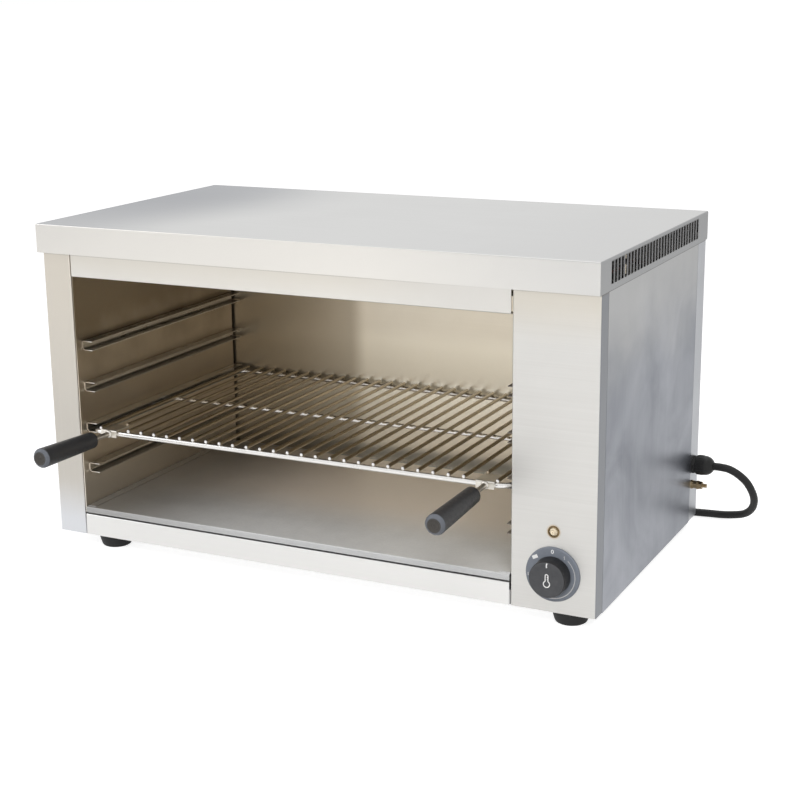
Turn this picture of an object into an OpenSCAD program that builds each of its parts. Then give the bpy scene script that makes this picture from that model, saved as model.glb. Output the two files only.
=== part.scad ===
// Counter-top cheese melter: a folded stainless cabinet, open at the front, with a vented cap,
// four runner levels, a wire grid with two grips, a crumb tray and one thermostat knob.
// Everything is drawn from the front lower left corner of the cabinet: X to the right along the
// front, Y to the back, Z up from the underside of the base. place() then moves the whole
// object so that its own box is centred over the origin and its feet stand on Z = 0.

/* [Body] */
// Width of the cabinet
body_w = 802; // [700:1:960]
// Depth of the cabinet, front face to back face
body_d = 438; // [370:1:540]
// Height of the walls from the base to the lower edge of the cap
wall_h = 401; // [396:1:480]
// Thickness of the outer and inner sheets
sheet = 1.2; // [1:0.1:1.5]
// Middle radius of a sheet bend
bend = 1.6; // [1.2:0.1:2]
// Width of the corner post at the left of the opening
post_w = 44; // [34:1:56]
// Width of the control fascia at the right of the opening
fascia_w = 111.3; // [96:0.1:130]
// Length of the fascia's return along the right side
fascia_return = 24; // [18:1:28]
// Length of the back panel's return along each side
rear_return = 38; // [36:1:48]
// Height of the base panel under the opening
base_front_h = 30; // [24:1:36]
// Height of the header panel that shows below the cap
header_h = 32.5; // [24:0.5:40]
// Gap at the seams along the sides
side_seam = 0.6; // [0.2:0.1:1]
// Gap at each end of the header and of the base panel
front_seam = 1.8; // [1:0.1:3]
// Depth of the folded returns that stiffen the panels
return_d = 13; // [8:1:15]

/* [Cap] */
// Height of the cap's flanges
cap_h = 39.5; // [36:0.5:48]
// How far the cap stands out over the front
cap_brow = 11; // [6:1:16]
// How far the cap reaches past the back face
cap_rear = 1.6; // [1.5:0.1:5]
// Outer radius of the cap's bends
cap_round = 2; // [2:0.1:5]
// Depth of the relief nicks at the cap's rear corners
cap_nick = 1.4; // [0.8:0.1:2.4]
// Width of one vent slot
slot_w = 7.5; // [3:0.1:8]
// Height of the vent slots
slot_h = 27; // [18:1:28]
// Drop of the vent slots below the cap's top
slot_drop = 5.2; // [4:0.1:8]
// Distance from one vent slot to the next
slot_pitch = 12.26; // [10:0.02:16]
// Place of the first vent slot behind the front
slot_first = 32.2; // [31:0.1:50]

/* [Cavity] */
// Set-back of the left liner from the post's edge
liner_set_l = 2; // [1.5:0.1:4]
// Set-back of the right liner from the fascia's edge
liner_set_r = 6; // [4:0.1:10]
// Place of the liners' front edges behind the front
liner_front = 14; // [13.5:0.5:20]
// Space behind the cavity for the supply and the wiring
rear_space = 31; // [28:1:40]
// Gap between the side liners and the back liner
rear_gap = 5; // [3:0.5:8]
// Drop of the ceiling below the cap's lower edge
ceiling_drop = 5; // [4:1:10]
// Thickness of the insulation over the ceiling
wool_h = 20; // [10:1:24]

/* [Runners] */
// Depth of one runner channel
runner_w = 17; // [14:0.5:20]
// Height of one runner channel
runner_h = 13.5; // [12.5:0.5:18]
// Middle radius of the bend between a runner's web and its lower flange
runner_bend = 4; // [1.2:0.1:5]
// Distance from one runner level to the next
runner_pitch = 58.5; // [48:0.5:66]
// Height of the lowest runner's underside
runner_low = 88; // [60:1:100]

/* [Grid] */
// Diameter of the frame rod
rod_d = 7; // [6:0.5:8]
// Diameter of the crossbar under the wires
bar_d = 6; // [5:0.5:7]
// Diameter of one grid wire
wire_d = 5; // [3:0.5:6]
// Number of grid wires
wire_count = 29; // [15:2:31]
// Middle radius of the frame's corners
grid_corner = 18; // [12:1:19]
// Gap between the frame and the left runners' webs
grid_clear = 8.5; // [6:0.1:9.5]
// Gap between the frame and the fascia's edge
grid_gap = 0.8; // [0.5:0.1:3]
// Distance of the outer wires from the frame's corners
wire_inset = 1.9; // [1.5:0.1:8]
// Place of the front rod behind the front
grid_front = 8; // [7:0.5:12]
// How far the wires reach past the rear rod
wire_tail = 6; // [3:0.5:8]

/* [Grid handles] */
// Distance of each handle from the frame's side rod
handle_inset = 31.6; // [29:0.1:110]
// How far the left handle leans up and the right one leans down, in degrees
handle_tilt = 2.1; // [0:0.1:3]
// Width of a handle bracket
bracket_w = 25; // [20:1:32]
// Thickness of a handle bracket
bracket_t = 2; // [1.5:0.1:3]
// Length of the bracket's leg on top of the grid
bracket_leg = 30; // [20:1:36]
// Height of the bracket's front leg
bracket_h = 10; // [10:0.5:12]
// Gap between a bracket and the wire beside it
wire_free = 0.3; // [0.3:0.1:1]
// Diameter of a handle rod
stem_d = 7; // [5:0.5:8]
// Length of the handle rod that shows
stem_show = 38; // [25:1:50]
// Length of a grip
grip_len = 112; // [80:1:130]
// Diameter of a grip at the rod end
grip_d1 = 22.5; // [18:0.5:24]
// Diameter of a grip at the free end
grip_d2 = 26.5; // [22:0.5:30]
// Radius of the grip's edge at the free end
grip_edge = 3; // [1:0.5:4]

/* [Crumb tray] */
// Height of the tray's front lip
lip_h = 8.2; // [6:0.1:9]
// Width of the hem along each side of the tray
hem_w = 13.7; // [8:0.1:20]
// Thickness of the tray's sheet
tray_t = 1; // [0.8:0.1:1.5]
// Gap beside the tray at the left liner
tray_side = 0.5; // [0.5:0.1:2]
// Space kept behind the tray
tray_rear = 37; // [12:1:60]
// Height of the channels that the tray slides on
glide_h = 9.5; // [9:0.5:12]
// Width of the channels that the tray slides on
glide_w = 14; // [10:1:20]

/* [Heating] */
// Diameter of a heating element
element_d = 8; // [6.5:0.5:9]
// Distance between the two legs of one element
element_legs = 56; // [40:1:60]
// Drop of the element's axis below the ceiling
element_drop = 15; // [12:1:18]

/* [Controls] */
// Distance of the knob's axis from the right side
control_x = 55.5; // [45:0.5:58]
// Height of the knob's axis
knob_z = 50; // [46:1:70]
// Diameter of the knob
knob_d = 48; // [44:1:56]
// Length of the knob
knob_h = 20; // [16:1:26]
// Diameter of the dial ring behind the knob
dial_d = 70.5; // [66:0.5:74]
// Thickness of the dial ring
dial_t = 2.5; // [2:0.5:4]
// Diameter of the thermostat's shaft
shaft_d = 6; // [5:0.5:8]
// Height of the pilot lamp
lamp_z = 104.5; // [98:0.5:130]
// Diameter of the pilot lamp's rim
lamp_d = 15; // [13:0.5:18]

/* [Supply] */
// Distance of the cable gland from the back face
gland_y = 22; // [20:0.5:22]
// Height of the cable gland
gland_z = 81; // [76:0.5:110]
// Diameter of the cable gland
gland_d = 28; // [24:0.5:30]
// Reach of the cable gland past the side
gland_len = 29; // [26:0.5:34]
// Diameter of the power cord
cord_d = 11; // [9:0.5:11.5]
// Distance of the bonding stud from the back face
stud_y = 29; // [14:0.5:30]
// Height of the bonding stud
stud_z = 53; // [40:0.5:54]
// Diameter of the bonding stud
stud_d = 6; // [5:0.5:8]
// Reach of the bonding stud past the side
stud_len = 22; // [20:0.5:28]
// Width across the flats of the stud's nuts
nut_af = 10; // [9:0.5:13]

/* [Feet] */
// Height of a foot
foot_h = 18; // [12:0.5:24]
// Diameter of a foot at the base
foot_d = 48; // [34:1:50]
// Diameter of a foot at the floor
foot_tip = 39; // [28:1:44]
// Distance of the left feet from the left side
foot_left = 78; // [50:1:90]
// Distance of the right feet from the right side
foot_right = 40; // [32:1:60]
// Distance of the feet from the front and from the back
foot_in = 25; // [23:1:40]

/* [Hidden] */
$fn = 48;
e = 0.01;

// Heights and places that several pieces share
top_z = wall_h + cap_h - sheet;
wall_top = top_z - cap_round + sheet;
side_top = wall_h + 3;
rear_y = body_d - rear_return - side_seam;
header_z = wall_h - header_h;
ceiling_z = wall_h - ceiling_drop;
open_l = post_w;
open_r = body_w - fascia_w;
liner_l = open_l + liner_set_l;
liner_r = open_r + liner_set_r;
liner_back_y = body_d - rear_space;
liner_end = liner_back_y - rear_gap;
control_cx = body_w - control_x;

// Grid and runners
function runner_z(level) = runner_low + (4 - level) * runner_pitch;
grid_level = 3;
rod_z = runner_z(grid_level) + sheet + rod_d / 2;
wire_z = rod_z + (rod_d + wire_d) / 2;
grid_l = liner_l + sheet + grid_clear + rod_d / 2;
grid_r = open_r - grid_gap - rod_d / 2;
grid_mid = (grid_l + grid_r) / 2;
grid_rear = liner_end - wire_tail;
wire_pitch = (grid_r - grid_l - 2 * (grid_corner + wire_inset)) / (wire_count - 1);
handle_x = [grid_l + handle_inset, grid_r - handle_inset];
bracket_front = grid_front - rod_d / 2 - bracket_t;
bracket_top = rod_z + rod_d / 2 + bracket_t;

// Tray
tray_z = base_front_h + glide_h;
tray_top = tray_z + tray_t;
tray_l = liner_l + tray_side;
tray_r = open_r - front_seam;
tray_end = liner_back_y - tray_rear;

// Supply
gland_cy = body_d - gland_y;
stud_cy = body_d - stud_y;

// Frame of the whole object
grip_end = (stem_show + grip_len - grip_edge) * cos(handle_tilt)
  + (grip_d2 / 2 - grip_edge) * sin(handle_tilt) + grip_edge - bracket_front;
mid_x = (body_w + gland_len - sheet) / 2;
mid_y = (body_d + cap_rear - grip_end) / 2;

// Power cord: the free stretch, as steps from the gland's mouth in X and Y, with heights
// above the floor, and the coil behind the cabinet
floor_z = -foot_h;
tie_t = 1.5;
tie_w = 6;
cord_rest = cord_d / 2 + tie_t + 0.2;
cord_x = body_w + gland_len;
free_cord = [
  [0, 0, foot_h + gland_z], [11, 0, foot_h + gland_z], [23, 1, 97], [35, 4, 90], [45, 10, 79],
  [51, 18, 65], [53, 28, 50], [50, 39, 36], [43, 49, 24], [32, 57, 15], [17, 62, 10],
  [0, 63, 7.5], [-22, 61, 7.2], [-50, 57, 7.2], [-80, 53, 7.2], [-110, 50, 7.2],
  [-140, 48, 7.2], [-167, 47, 7.2], [-178, 47, 7.2]
];
coil_r = 72;
coil_turns = 3.5;
coil_step = 11.6;
coil_rise = 11.8;
coil_x = cord_x - 189;
coil_y = gland_cy + 47 + coil_r;
coil_ring = 24;

function coil_at(s) =
  let (
    r = coil_r - coil_step * min(s, coil_turns - s),
    a = -90 - 360 * s,
    up = min(1, max(0, (s - coil_turns / 2 + 0.25) * 2))
  ) [coil_x + r * cos(a), coil_y + r * sin(a), floor_z + cord_rest + coil_rise * up];
coil_path = concat(
  [[coil_x + cord_d, coil_y - coil_r, floor_z + cord_rest]],
  [for (i = [0 : coil_turns * coil_ring]) coil_at(i / coil_ring)],
  [[coil_x + cord_d, coil_y + coil_r, floor_z + cord_rest + coil_rise]]
);
cord_path = [for (p = free_cord) [cord_x + p[0], gland_cy + p[1], floor_z + p[2]]];

// Least gap of the coil to itself, on points more than half a turn apart
coil_gap = min([for (i = [0 : len(coil_path) - 1]) for (j = [i + coil_ring / 2 : len(coil_path) - 1])
  norm(coil_path[i] - coil_path[j])]) - cord_d;
echo(coil_gap = coil_gap);

plug_d = 2 * (cord_rest + coil_rise);
plug_x = coil_x + cord_d;
plug_y = coil_y + coil_r;
plug_z = floor_z + plug_d / 2;
plug_len = 46;
strain_len = 24;

// ---------- helpers ----------

module place() translate([-mid_x, -mid_y, foot_h]) children();

// A profile in X and Z, drawn out along Y
module along_y(y0, y1) translate([0, y1, 0]) rotate([90, 0, 0]) linear_extrude(y1 - y0) children();

// A profile in Y and Z, drawn out along X
module along_x(x0, x1) translate([x0, 0, 0]) rotate([90, 0, 90]) linear_extrude(x1 - x0) children();

function unit(v) = v / norm(v);
function at_end(i, n) = i == 0 || i == n - 1;

// A folded sheet seen edge on: its middle line is pts, every bend is square. The middle radius
// of the bends is r, or r[i] at point i
module folded(pts, t = sheet, r = bend) {
  n = len(pts);
  function radius(i) = at_end(i, n) ? 0 : is_list(r) ? r[i] : r;
  for (i = [0 : n - 2]) {
    d = unit(pts[i + 1] - pts[i]);
    s = [-d[1], d[0]] * t / 2;
    a = pts[i] + d * radius(i);
    b = pts[i + 1] - d * radius(i + 1);
    polygon([a + s, a - s, b - s, b + s]);
  }
  if (n > 2) for (i = [1 : n - 2]) {
    d0 = unit(pts[i] - pts[i - 1]);
    d1 = unit(pts[i + 1] - pts[i]);
    c = pts[i] + (d1 - d0) * radius(i);
    q = radius(i) + t;
    intersection() {
      translate(c) difference() {
        circle(radius(i) + t / 2);
        circle(radius(i) - t / 2);
      }
      polygon([c, c - d1 * q, c - d1 * q + d0 * q, c + d0 * q]);
    }
  }
}

// A round rod along a line of square corners, each rounded to the middle radius r
module bent_rod(pts, d, r) {
  n = len(pts);
  for (i = [0 : n - 2]) {
    w = unit(pts[i + 1] - pts[i]);
    u = [w[1], w[2], w[0]];
    v = cross(w, u);
    a = pts[i] + (at_end(i, n) ? [0, 0, 0] : w * r);
    b = pts[i + 1] - (at_end(i + 1, n) ? [0, 0, 0] : w * r);
    multmatrix([[u[0], v[0], w[0], a[0]], [u[1], v[1], w[1], a[1]], [u[2], v[2], w[2], a[2]],
      [0, 0, 0, 1]])
      cylinder(h = norm(b - a), d = d);
  }
  if (n > 2) for (i = [1 : n - 2]) {
    d0 = unit(pts[i] - pts[i - 1]);
    d1 = unit(pts[i + 1] - pts[i]);
    c = pts[i] - d0 * r + d1 * r;
    z = cross(d0, d1);
    multmatrix([[-d1[0], d0[0], z[0], c[0]], [-d1[1], d0[1], z[1], c[1]],
      [-d1[2], d0[2], z[2], c[2]], [0, 0, 0, 1]])
      rotate_extrude(angle = 90) translate([r, 0]) circle(d = d);
  }
}

// A round tube swept along any line of points
module swept_tube(path, d, sides) {
  n = len(path);
  function heading(i) = unit(path[min(n - 1, i + 1)] - path[max(0, i - 1)]);
  rings = [for (i = [0 : n - 1])
    let (
      w = heading(i),
      u = unit(cross(w, abs(w[2]) > 0.9 ? [1, 0, 0] : [0, 0, 1])),
      v = cross(w, u)
    ) for (k = [0 : sides - 1])
      path[i] + d / 2 * (cos(360 * k / sides) * u + sin(360 * k / sides) * v)];
  walls = [for (i = [0 : n - 2]) for (k = [0 : sides - 1])
    let (m = (k + 1) % sides, a = i * sides, b = a + sides) each
      [[a + k, b + k, b + m], [a + k, b + m, a + m]]];
  caps = [[for (k = [0 : sides - 1]) k], [for (k = [sides - 1 : -1 : 0]) (n - 1) * sides + k]];
  polyhedron(rings, concat(walls, caps), convexity = 10);
}

module cyl_x(x0, x1, y, z, d, f = 48)
  translate([x0, y, z]) rotate([0, 90, 0]) cylinder(h = x1 - x0, d = d, $fn = f);

module cyl_y(y0, y1, x, z, d, f = 48)
  translate([x, y1, z]) rotate([90, 0, 0]) cylinder(h = y1 - y0, d = d, $fn = f);

module hex_x(x0, x1, y, z, af)
  cyl_x(x0, x1, y, z, af / cos(30), 6);

// A rectangle with its two upper corners rounded
module arch(w, h, r) {
  square([w, h - r]);
  translate([r, h - r - e]) square([w - 2 * r, r + e]);
  for (x = [r, w - r]) translate([x, h - r]) circle(r);
}

// ---------- cabinet ----------

slot_n = floor((rear_y - slot_first - slot_w) / slot_pitch) + 1;

module cap_block(grow) {
  x0 = -grow;
  y0 = -cap_brow + sheet - grow;
  w = body_w + 2 * grow;
  d = body_d + cap_brow + cap_rear - 2 * sheet + 2 * grow;
  h = cap_h - sheet + grow;
  r = cap_round - sheet + grow;
  intersection() {
    along_y(y0, y0 + d) translate([x0, wall_h]) arch(w, h, r);
    along_x(x0, x0 + w) translate([y0, wall_h]) arch(d, h, r);
  }
}

module top_cover() color("silver") place() difference() {
  cap_block(sheet);
  for (down = [0, 1]) translate([0, 0, -down]) cap_block(0);
  for (i = [0 : slot_n - 1])
    translate([-sheet - 1, slot_first + i * slot_pitch - slot_w / 2,
      top_z + sheet - slot_drop - slot_h])
      cube([body_w + 2 * sheet + 2, slot_w, slot_h]);
  for (x = [-sheet, body_w + sheet])
    translate([x, body_d + cap_rear, wall_h]) rotate([45, 0, 0])
      cube([3 * sheet, cap_nick * sqrt(2), cap_nick * sqrt(2)], center = true);
}

module left_side_panel() color("lightgray") place() union() {
  linear_extrude(wall_top) folded([
    [sheet / 2, fascia_return], [sheet / 2, sheet / 2], [post_w - sheet / 2, sheet / 2],
    [post_w - sheet / 2, return_d]
  ]);
  along_y(fascia_return - e, rear_y) folded([
    [sheet / 2, -sheet], [sheet / 2, side_top - sheet / 2], [return_d, side_top - sheet / 2]
  ]);
}

module right_side_panel() color("lightsteelblue") place()
  along_y(fascia_return + side_seam, rear_y) folded([
    [body_w - sheet / 2, -sheet], [body_w - sheet / 2, side_top - sheet / 2],
    [body_w - return_d, side_top - sheet / 2]
  ]);

module control_fascia() color("whitesmoke") place() difference() {
  union() {
    linear_extrude(wall_top) folded([
      [body_w - sheet / 2, fascia_return], [body_w - sheet / 2, sheet / 2],
      [open_r + sheet / 2, sheet / 2], [open_r + sheet / 2, return_d]
    ]);
    along_x(open_r + 3, body_w - 3) folded([
      [sheet / 2, top_z - 20], [sheet / 2, top_z - sheet / 2], [return_d, top_z - sheet / 2]
    ]);
  }
  cyl_y(-1, sheet + 1, control_cx, knob_z, shaft_d + 4);
  for (s = [-1, 1]) cyl_y(-1, sheet + 1, control_cx + s * 14, knob_z, 4.4);
  cyl_y(-1, sheet + 1, control_cx, lamp_z, lamp_d - 2.2);
}

module back_panel() color("lightsteelblue") place() difference() {
  union() {
    linear_extrude(wall_top) folded([
      [body_w - sheet / 2, body_d - rear_return], [body_w - sheet / 2, body_d - sheet / 2],
      [sheet / 2, body_d - sheet / 2], [sheet / 2, body_d - rear_return]
    ]);
    along_x(3, body_w - 3) folded([
      [body_d - sheet / 2, top_z - 20], [body_d - sheet / 2, top_z - sheet / 2],
      [body_d - return_d, top_z - sheet / 2]
    ]);
  }
  cyl_x(body_w - 10, body_w + 1, gland_cy, gland_z, gland_d - 7.6);
  cyl_x(body_w - 10, body_w + 1, stud_cy, stud_z, stud_d + 0.4);
  for (p = back_screw_at) cyl_y(body_d - 5, body_d + 1, p[0], p[1], 4.2);
}

module header_panel() color("whitesmoke") place()
  along_x(open_l + front_seam, open_r - front_seam) folded([
    [return_d, header_z + sheet / 2], [sheet / 2, header_z + sheet / 2],
    [sheet / 2, top_z - sheet / 2], [return_d, top_z - sheet / 2]
  ]);

module base_front_panel() color("whitesmoke") place()
  along_x(open_l + front_seam, open_r - front_seam) folded([
    [sheet / 2, 0], [sheet / 2, base_front_h - sheet / 2], [20, base_front_h - sheet / 2]
  ]);

foot_at = [
  [foot_left, foot_in], [body_w - foot_right, foot_in],
  [foot_left, body_d - foot_in], [body_w - foot_right, body_d - foot_in]
];
pan_rim = 20;

module base_plate() color("gainsboro") place() difference() {
  union() {
    along_y(3, body_d - 3) folded([
      [1.5 * sheet, pan_rim], [1.5 * sheet, sheet / 2], [body_w - 1.5 * sheet, sheet / 2],
      [body_w - 1.5 * sheet, pan_rim]
    ]);
    along_x(5, body_w - 5) folded([
      [1.5 * sheet, pan_rim], [1.5 * sheet, sheet / 2], [body_d - 1.5 * sheet, sheet / 2],
      [body_d - 1.5 * sheet, pan_rim]
    ]);
  }
  for (p = foot_at) translate([p[0], p[1], -1]) cylinder(h = 10, d = 5.4);
  for (x = [open_l - 3, open_r - 0.5]) translate([x, 0, -1]) cube([3.5, return_d + 0.5, pan_rim + 2]);
  for (x = back_screw_x) cyl_y(body_d - 4, body_d, x, pan_rim - 8, 4.2);
}

// Strips welded behind the seams of the sides
module seam_strips() color("silver") place() {
  translate([sheet, rear_y - 14, pan_rim + 2]) cube([sheet, 30, wall_h - pan_rim - 6]);
  translate([body_w - 2 * sheet, rear_y - 14, gland_z + 20])
    cube([sheet, 30, wall_h - gland_z - 24]);
  translate([body_w - 2 * sheet, fascia_return - 14, pan_rim + 2])
    cube([sheet, 28, wall_h - pan_rim - 6]);
}

// ---------- cavity ----------

element_y = [for (k = [0 : 2]) 66 + k * (liner_end - 66 - 66 - element_legs) / 2 ];
element_z = ceiling_z - element_drop;
bulb_z = element_z - 8;
bulb_y = element_y[0] + element_legs + (element_y[1] - element_y[0] - element_legs) / 2;
deck_l = liner_l - 18;
deck_r = liner_r + 18;

module liner(side) {
  wall = side < 0 ? liner_l - sheet / 2 : liner_r + sheet / 2;
  along_y(liner_front, liner_end) folded([
    [wall + side * 15, base_front_h + sheet / 2], [wall, base_front_h + sheet / 2],
    [wall, ceiling_z - sheet / 2], [wall + side * 15, ceiling_z - sheet / 2]
  ]);
}

tongue_front = 1.5;
tongue_gap = 0.6;

// The left liner's wall reaches forward beside the post's return
module liner_left() color("dimgray") place() union() {
  liner(-1);
  translate([liner_l - sheet, tongue_front, base_front_h + 2])
    cube([sheet, liner_front + e - tongue_front, header_z - tongue_gap - base_front_h - 2]);
}

module liner_right() color("gray") place() difference() {
  liner(1);
  for (y = element_y) for (k = [0, 1])
    cyl_x(liner_r - 1, liner_r + 4, y + k * element_legs, element_z, element_d + 0.6);
  cyl_x(liner_r - 1, liner_r + 4, bulb_y, bulb_z, 3);
}

module liner_back() color("tan") place()
  along_x(deck_l, deck_r) folded([
    [liner_back_y + sheet / 2, base_front_h], [liner_back_y + sheet / 2, ceiling_z - sheet / 2],
    [liner_back_y + 14, ceiling_z - sheet / 2]
  ]);

module cavity_deck() color("gray") place() difference() {
  along_y(20.4, liner_back_y + 15) folded([
    [deck_l + sheet / 2, sheet], [deck_l + sheet / 2, base_front_h - sheet / 2],
    [deck_r - sheet / 2, base_front_h - sheet / 2], [deck_r - sheet / 2, sheet]
  ]);
  translate([deck_r - 10, 10, -1]) cube([20, 60, base_front_h - 8]);
}

module ceiling_reflector() color("lightgray") place() difference() {
  along_x(deck_l, deck_r) folded([
    [1.5 * sheet, ceiling_z + 18], [1.5 * sheet, ceiling_z + sheet / 2],
    [body_d - 1.5 * sheet, ceiling_z + sheet / 2], [body_d - 1.5 * sheet, ceiling_z - 16]
  ]);
  for (x = [open_l + front_seam - 60, open_r - front_seam]) translate([x, 0, ceiling_z - 1])
    cube([60, return_d + 1, 30]);
  for (x = back_screw_x) cyl_y(body_d - 4, body_d, x, ceiling_z - 8, 4.2);
}

module insulation() color("khaki") place()
  translate([liner_l + 10, 24, ceiling_z + sheet])
    cube([liner_r - liner_l - 20, liner_end - 34, wool_h]);

module runner(side, level) {
  wall = side < 0 ? liner_l : liner_r;
  z0 = runner_z(level);
  color("darkgray") place() along_y(liner_front, liner_end - 1) folded([
    [wall - side * runner_w, z0 + runner_h - sheet / 2],
    [wall - side * sheet / 2, z0 + runner_h - sheet / 2],
    [wall - side * sheet / 2, z0 + sheet / 2],
    [wall - side * runner_w, z0 + sheet / 2]
  ], sheet, [0, bend, runner_bend, 0]);
}

glide_in = 2;
glide_front = 22;
glide_short = 8;

module tray_glides() color("silver") place()
  for (x = [tray_l + hem_w + glide_in, tray_r - hem_w - glide_in - glide_w])
    along_y(glide_front, tray_end - glide_short) folded([
      [x + sheet / 2, base_front_h], [x + sheet / 2, tray_z - sheet / 2],
      [x + glide_w - sheet / 2, tray_z - sheet / 2], [x + glide_w - sheet / 2, base_front_h]
    ]);

// ---------- wire grid ----------

module grid_frame() color("silver") place()
  bent_rod([
    [grid_mid, grid_front, rod_z], [grid_r, grid_front, rod_z], [grid_r, grid_rear, rod_z],
    [grid_l, grid_rear, rod_z], [grid_l, grid_front, rod_z], [grid_mid, grid_front, rod_z]
  ], rod_d, grid_corner);

module grid_crossbar() color("silver") place()
  cyl_x(grid_l + rod_d / 2, grid_r - rod_d / 2, (grid_front + grid_rear) / 2,
    rod_z + (rod_d - bar_d) / 2, bar_d);

// The outer wires stand clear of the brackets, and a wire that meets one starts behind its leg
module grid_wires() color("gainsboro") place()
  for (i = [0 : wire_count - 1]) {
    n = i - (wire_count - 1) / 2;
    beside = handle_x[1] - grid_mid + (bracket_w + wire_d) / 2 + wire_free;
    outer = at_end(i, wire_count) ? max(beside, abs(n) * wire_pitch) : abs(n) * wire_pitch;
    x = grid_mid + sign(n) * outer;
    under = min([for (h = handle_x) abs(x - h)]) < (bracket_w + wire_d) / 2;
    start = under ? bracket_front + bracket_leg : grid_front - rod_d / 2;
    cyl_y(start, grid_rear + wire_tail, x, wire_z, wire_d, 24);
  }

module handle_brackets() color("gainsboro") place()
  for (x = handle_x) along_x(x - bracket_w / 2, x + bracket_w / 2) folded([
    [bracket_front + bracket_leg, bracket_top - bracket_t / 2],
    [bracket_front + bracket_t / 2, bracket_top - bracket_t / 2],
    [bracket_front + bracket_t / 2, bracket_top - bracket_h]
  ], bracket_t, bracket_t * 0.8);

// Along both handles: the origin is where the rod's axis meets the bracket, -Y is the free end
module on_handles()
  for (side = [0, 1]) translate([handle_x[side], bracket_front, rod_z])
    rotate([handle_tilt * (side == 0 ? -1 : 1), 0, 0]) children();

bore_len = 60;
bore_fit = 0.02;

module handle_stems() color("silver") place() difference() {
  on_handles() cyl_y(-stem_show - bore_len, 1, 0, 0, stem_d);
  translate([grid_l, bracket_front, rod_z - stem_d]) cube([grid_r - grid_l, 5, 2 * stem_d]);
}

// Half section of a grip: a tapered handle with soft ends and a dimple, on the rod's bore
module grip_section() difference() {
  union() {
    polygon([[0, 0], [grip_d2 / 2 - grip_edge, 0], [grip_d2 / 2, grip_edge],
      [grip_d1 / 2, grip_len - 5], [grip_d1 / 2 - 5, grip_len], [0, grip_len]]);
    translate([grip_d2 / 2 - grip_edge, grip_edge]) circle(grip_edge);
    translate([grip_d1 / 2 - 5, grip_len - 5]) circle(5);
  }
  translate([-1, grip_len - bore_len]) square([1 + stem_d / 2 + bore_fit, bore_len + 1]);
  translate([0, -20]) circle(21.5);
  translate([-20, -10]) square([20, grip_len + 20]);
}

module handle_grips() color("black") place()
  on_handles() translate([0, -stem_show - grip_len, 0]) rotate([-90, 0, 0])
    rotate_extrude() grip_section();

// ---------- crumb tray ----------

lip_flat = 4;

// A flat sheet with a lip turned down at the front and a closed hem along each side
module crumb_tray() color("silver") place() union() {
  along_y(lip_flat - e, tray_end) {
    translate([tray_l + tray_t, tray_z]) square([tray_r - tray_l - 2 * tray_t, tray_t]);
    for (x = [tray_l + tray_t, tray_r - tray_t]) translate([x, tray_top]) circle(tray_t);
    for (x = [tray_l + tray_t, tray_r - hem_w])
      translate([x, tray_top - e]) square([hem_w - tray_t, tray_t + e]);
  }
  along_x(tray_l, tray_r) folded([
    [tray_t / 2, tray_top - lip_h], [tray_t / 2, tray_top - tray_t / 2],
    [lip_flat, tray_top - tray_t / 2]
  ], tray_t);
}

// ---------- heating ----------

module heating_elements() color("dimgray") place()
  for (y = element_y) bent_rod([
    [liner_r + 26, y, element_z], [liner_l + 46, y, element_z],
    [liner_l + 46, y + element_legs, element_z], [liner_r + 26, y + element_legs, element_z]
  ], element_d, element_legs / 2 - e);

module element_hangers() color("silver") place()
  for (x = [liner_l + 130, liner_r - 130]) difference() {
    translate([x, element_y[0] - 14, element_z - 9])
      cube([sheet, element_y[2] - element_y[0] + element_legs + 28, ceiling_z - element_z + 9]);
    for (y = element_y) for (k = [0, 1])
      cyl_x(x - 1, x + 3, y + k * element_legs, element_z, element_d + 0.1);
    for (y = element_y) translate([x - 1, y + 12, element_z - 10])
      cube([4, element_legs - 24, ceiling_z - element_z]);
    cyl_x(x - 1, x + 3, bulb_y, bulb_z, 6.6);
  }

// ---------- controls ----------

thermo_depth = 34;
flat_len = 7;
knob_soft = 2.8;
face_r = 200;

module thermostat_body() color("dimgray") place() difference() {
  union() {
    translate([control_cx - 19, sheet, knob_z - 19]) cube([38, 4, 38]);
    translate([control_cx - 16, sheet + 4, knob_z - 16]) cube([32, thermo_depth - 4, 32]);
    cyl_y(-6, sheet + 1, control_cx, knob_z, shaft_d + 3.6);
  }
  cyl_y(-7, sheet + 20, control_cx, knob_z, shaft_d + 0.1);
}

module thermostat_shaft() color("silver") place() difference() {
  cyl_y(-knob_h + 2, sheet + 18, control_cx, knob_z, shaft_d);
  translate([control_cx - 5, -knob_h + 1, knob_z + shaft_d / 2 - 1.5]) cube([10, flat_len + 1, 5]);
}

module thermostat_bulb() color("peru") place() union() {
  bent_rod([
    [control_cx - 9, sheet + thermo_depth, knob_z + 8],
    [control_cx - 9, bulb_y, knob_z + 8],
    [control_cx - 9, bulb_y, bulb_z],
    [liner_r - 40, bulb_y, bulb_z]
  ], 2, 12);
  cyl_x(liner_r - 150, liner_r - 40, bulb_y, bulb_z, 6);
}

module bulb_clips() color("silver") place()
  for (x = [liner_r - 120, liner_r - 70]) difference() {
    translate([x, bulb_y - 5, bulb_z - 5]) cube([8, 10, ceiling_z - bulb_z + 5]);
    cyl_x(x - 1, x + 9, bulb_y, bulb_z, 6.1);
    translate([x - 1, bulb_y - 3.8, bulb_z + 4.2]) cube([10, 7.6, ceiling_z - bulb_z - 5.4]);
  }

dial_gap = 0.6;

module dial_ring() color("slategray") place()
  translate([control_cx, 0, knob_z]) rotate([90, 0, 0]) difference() {
    rotate_extrude($fn = 96) polygon([
      [shaft_d / 2 + 2, 0], [dial_d / 2, 0], [dial_d / 2, dial_t - 1.2],
      [dial_d / 2 - 1.2, dial_t], [shaft_d / 2 + 2, dial_t]
    ]);
    for (s = [-1, 1]) translate([s * 14, 0, -1]) cylinder(h = dial_t + 2, d = 4);
  }

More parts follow.
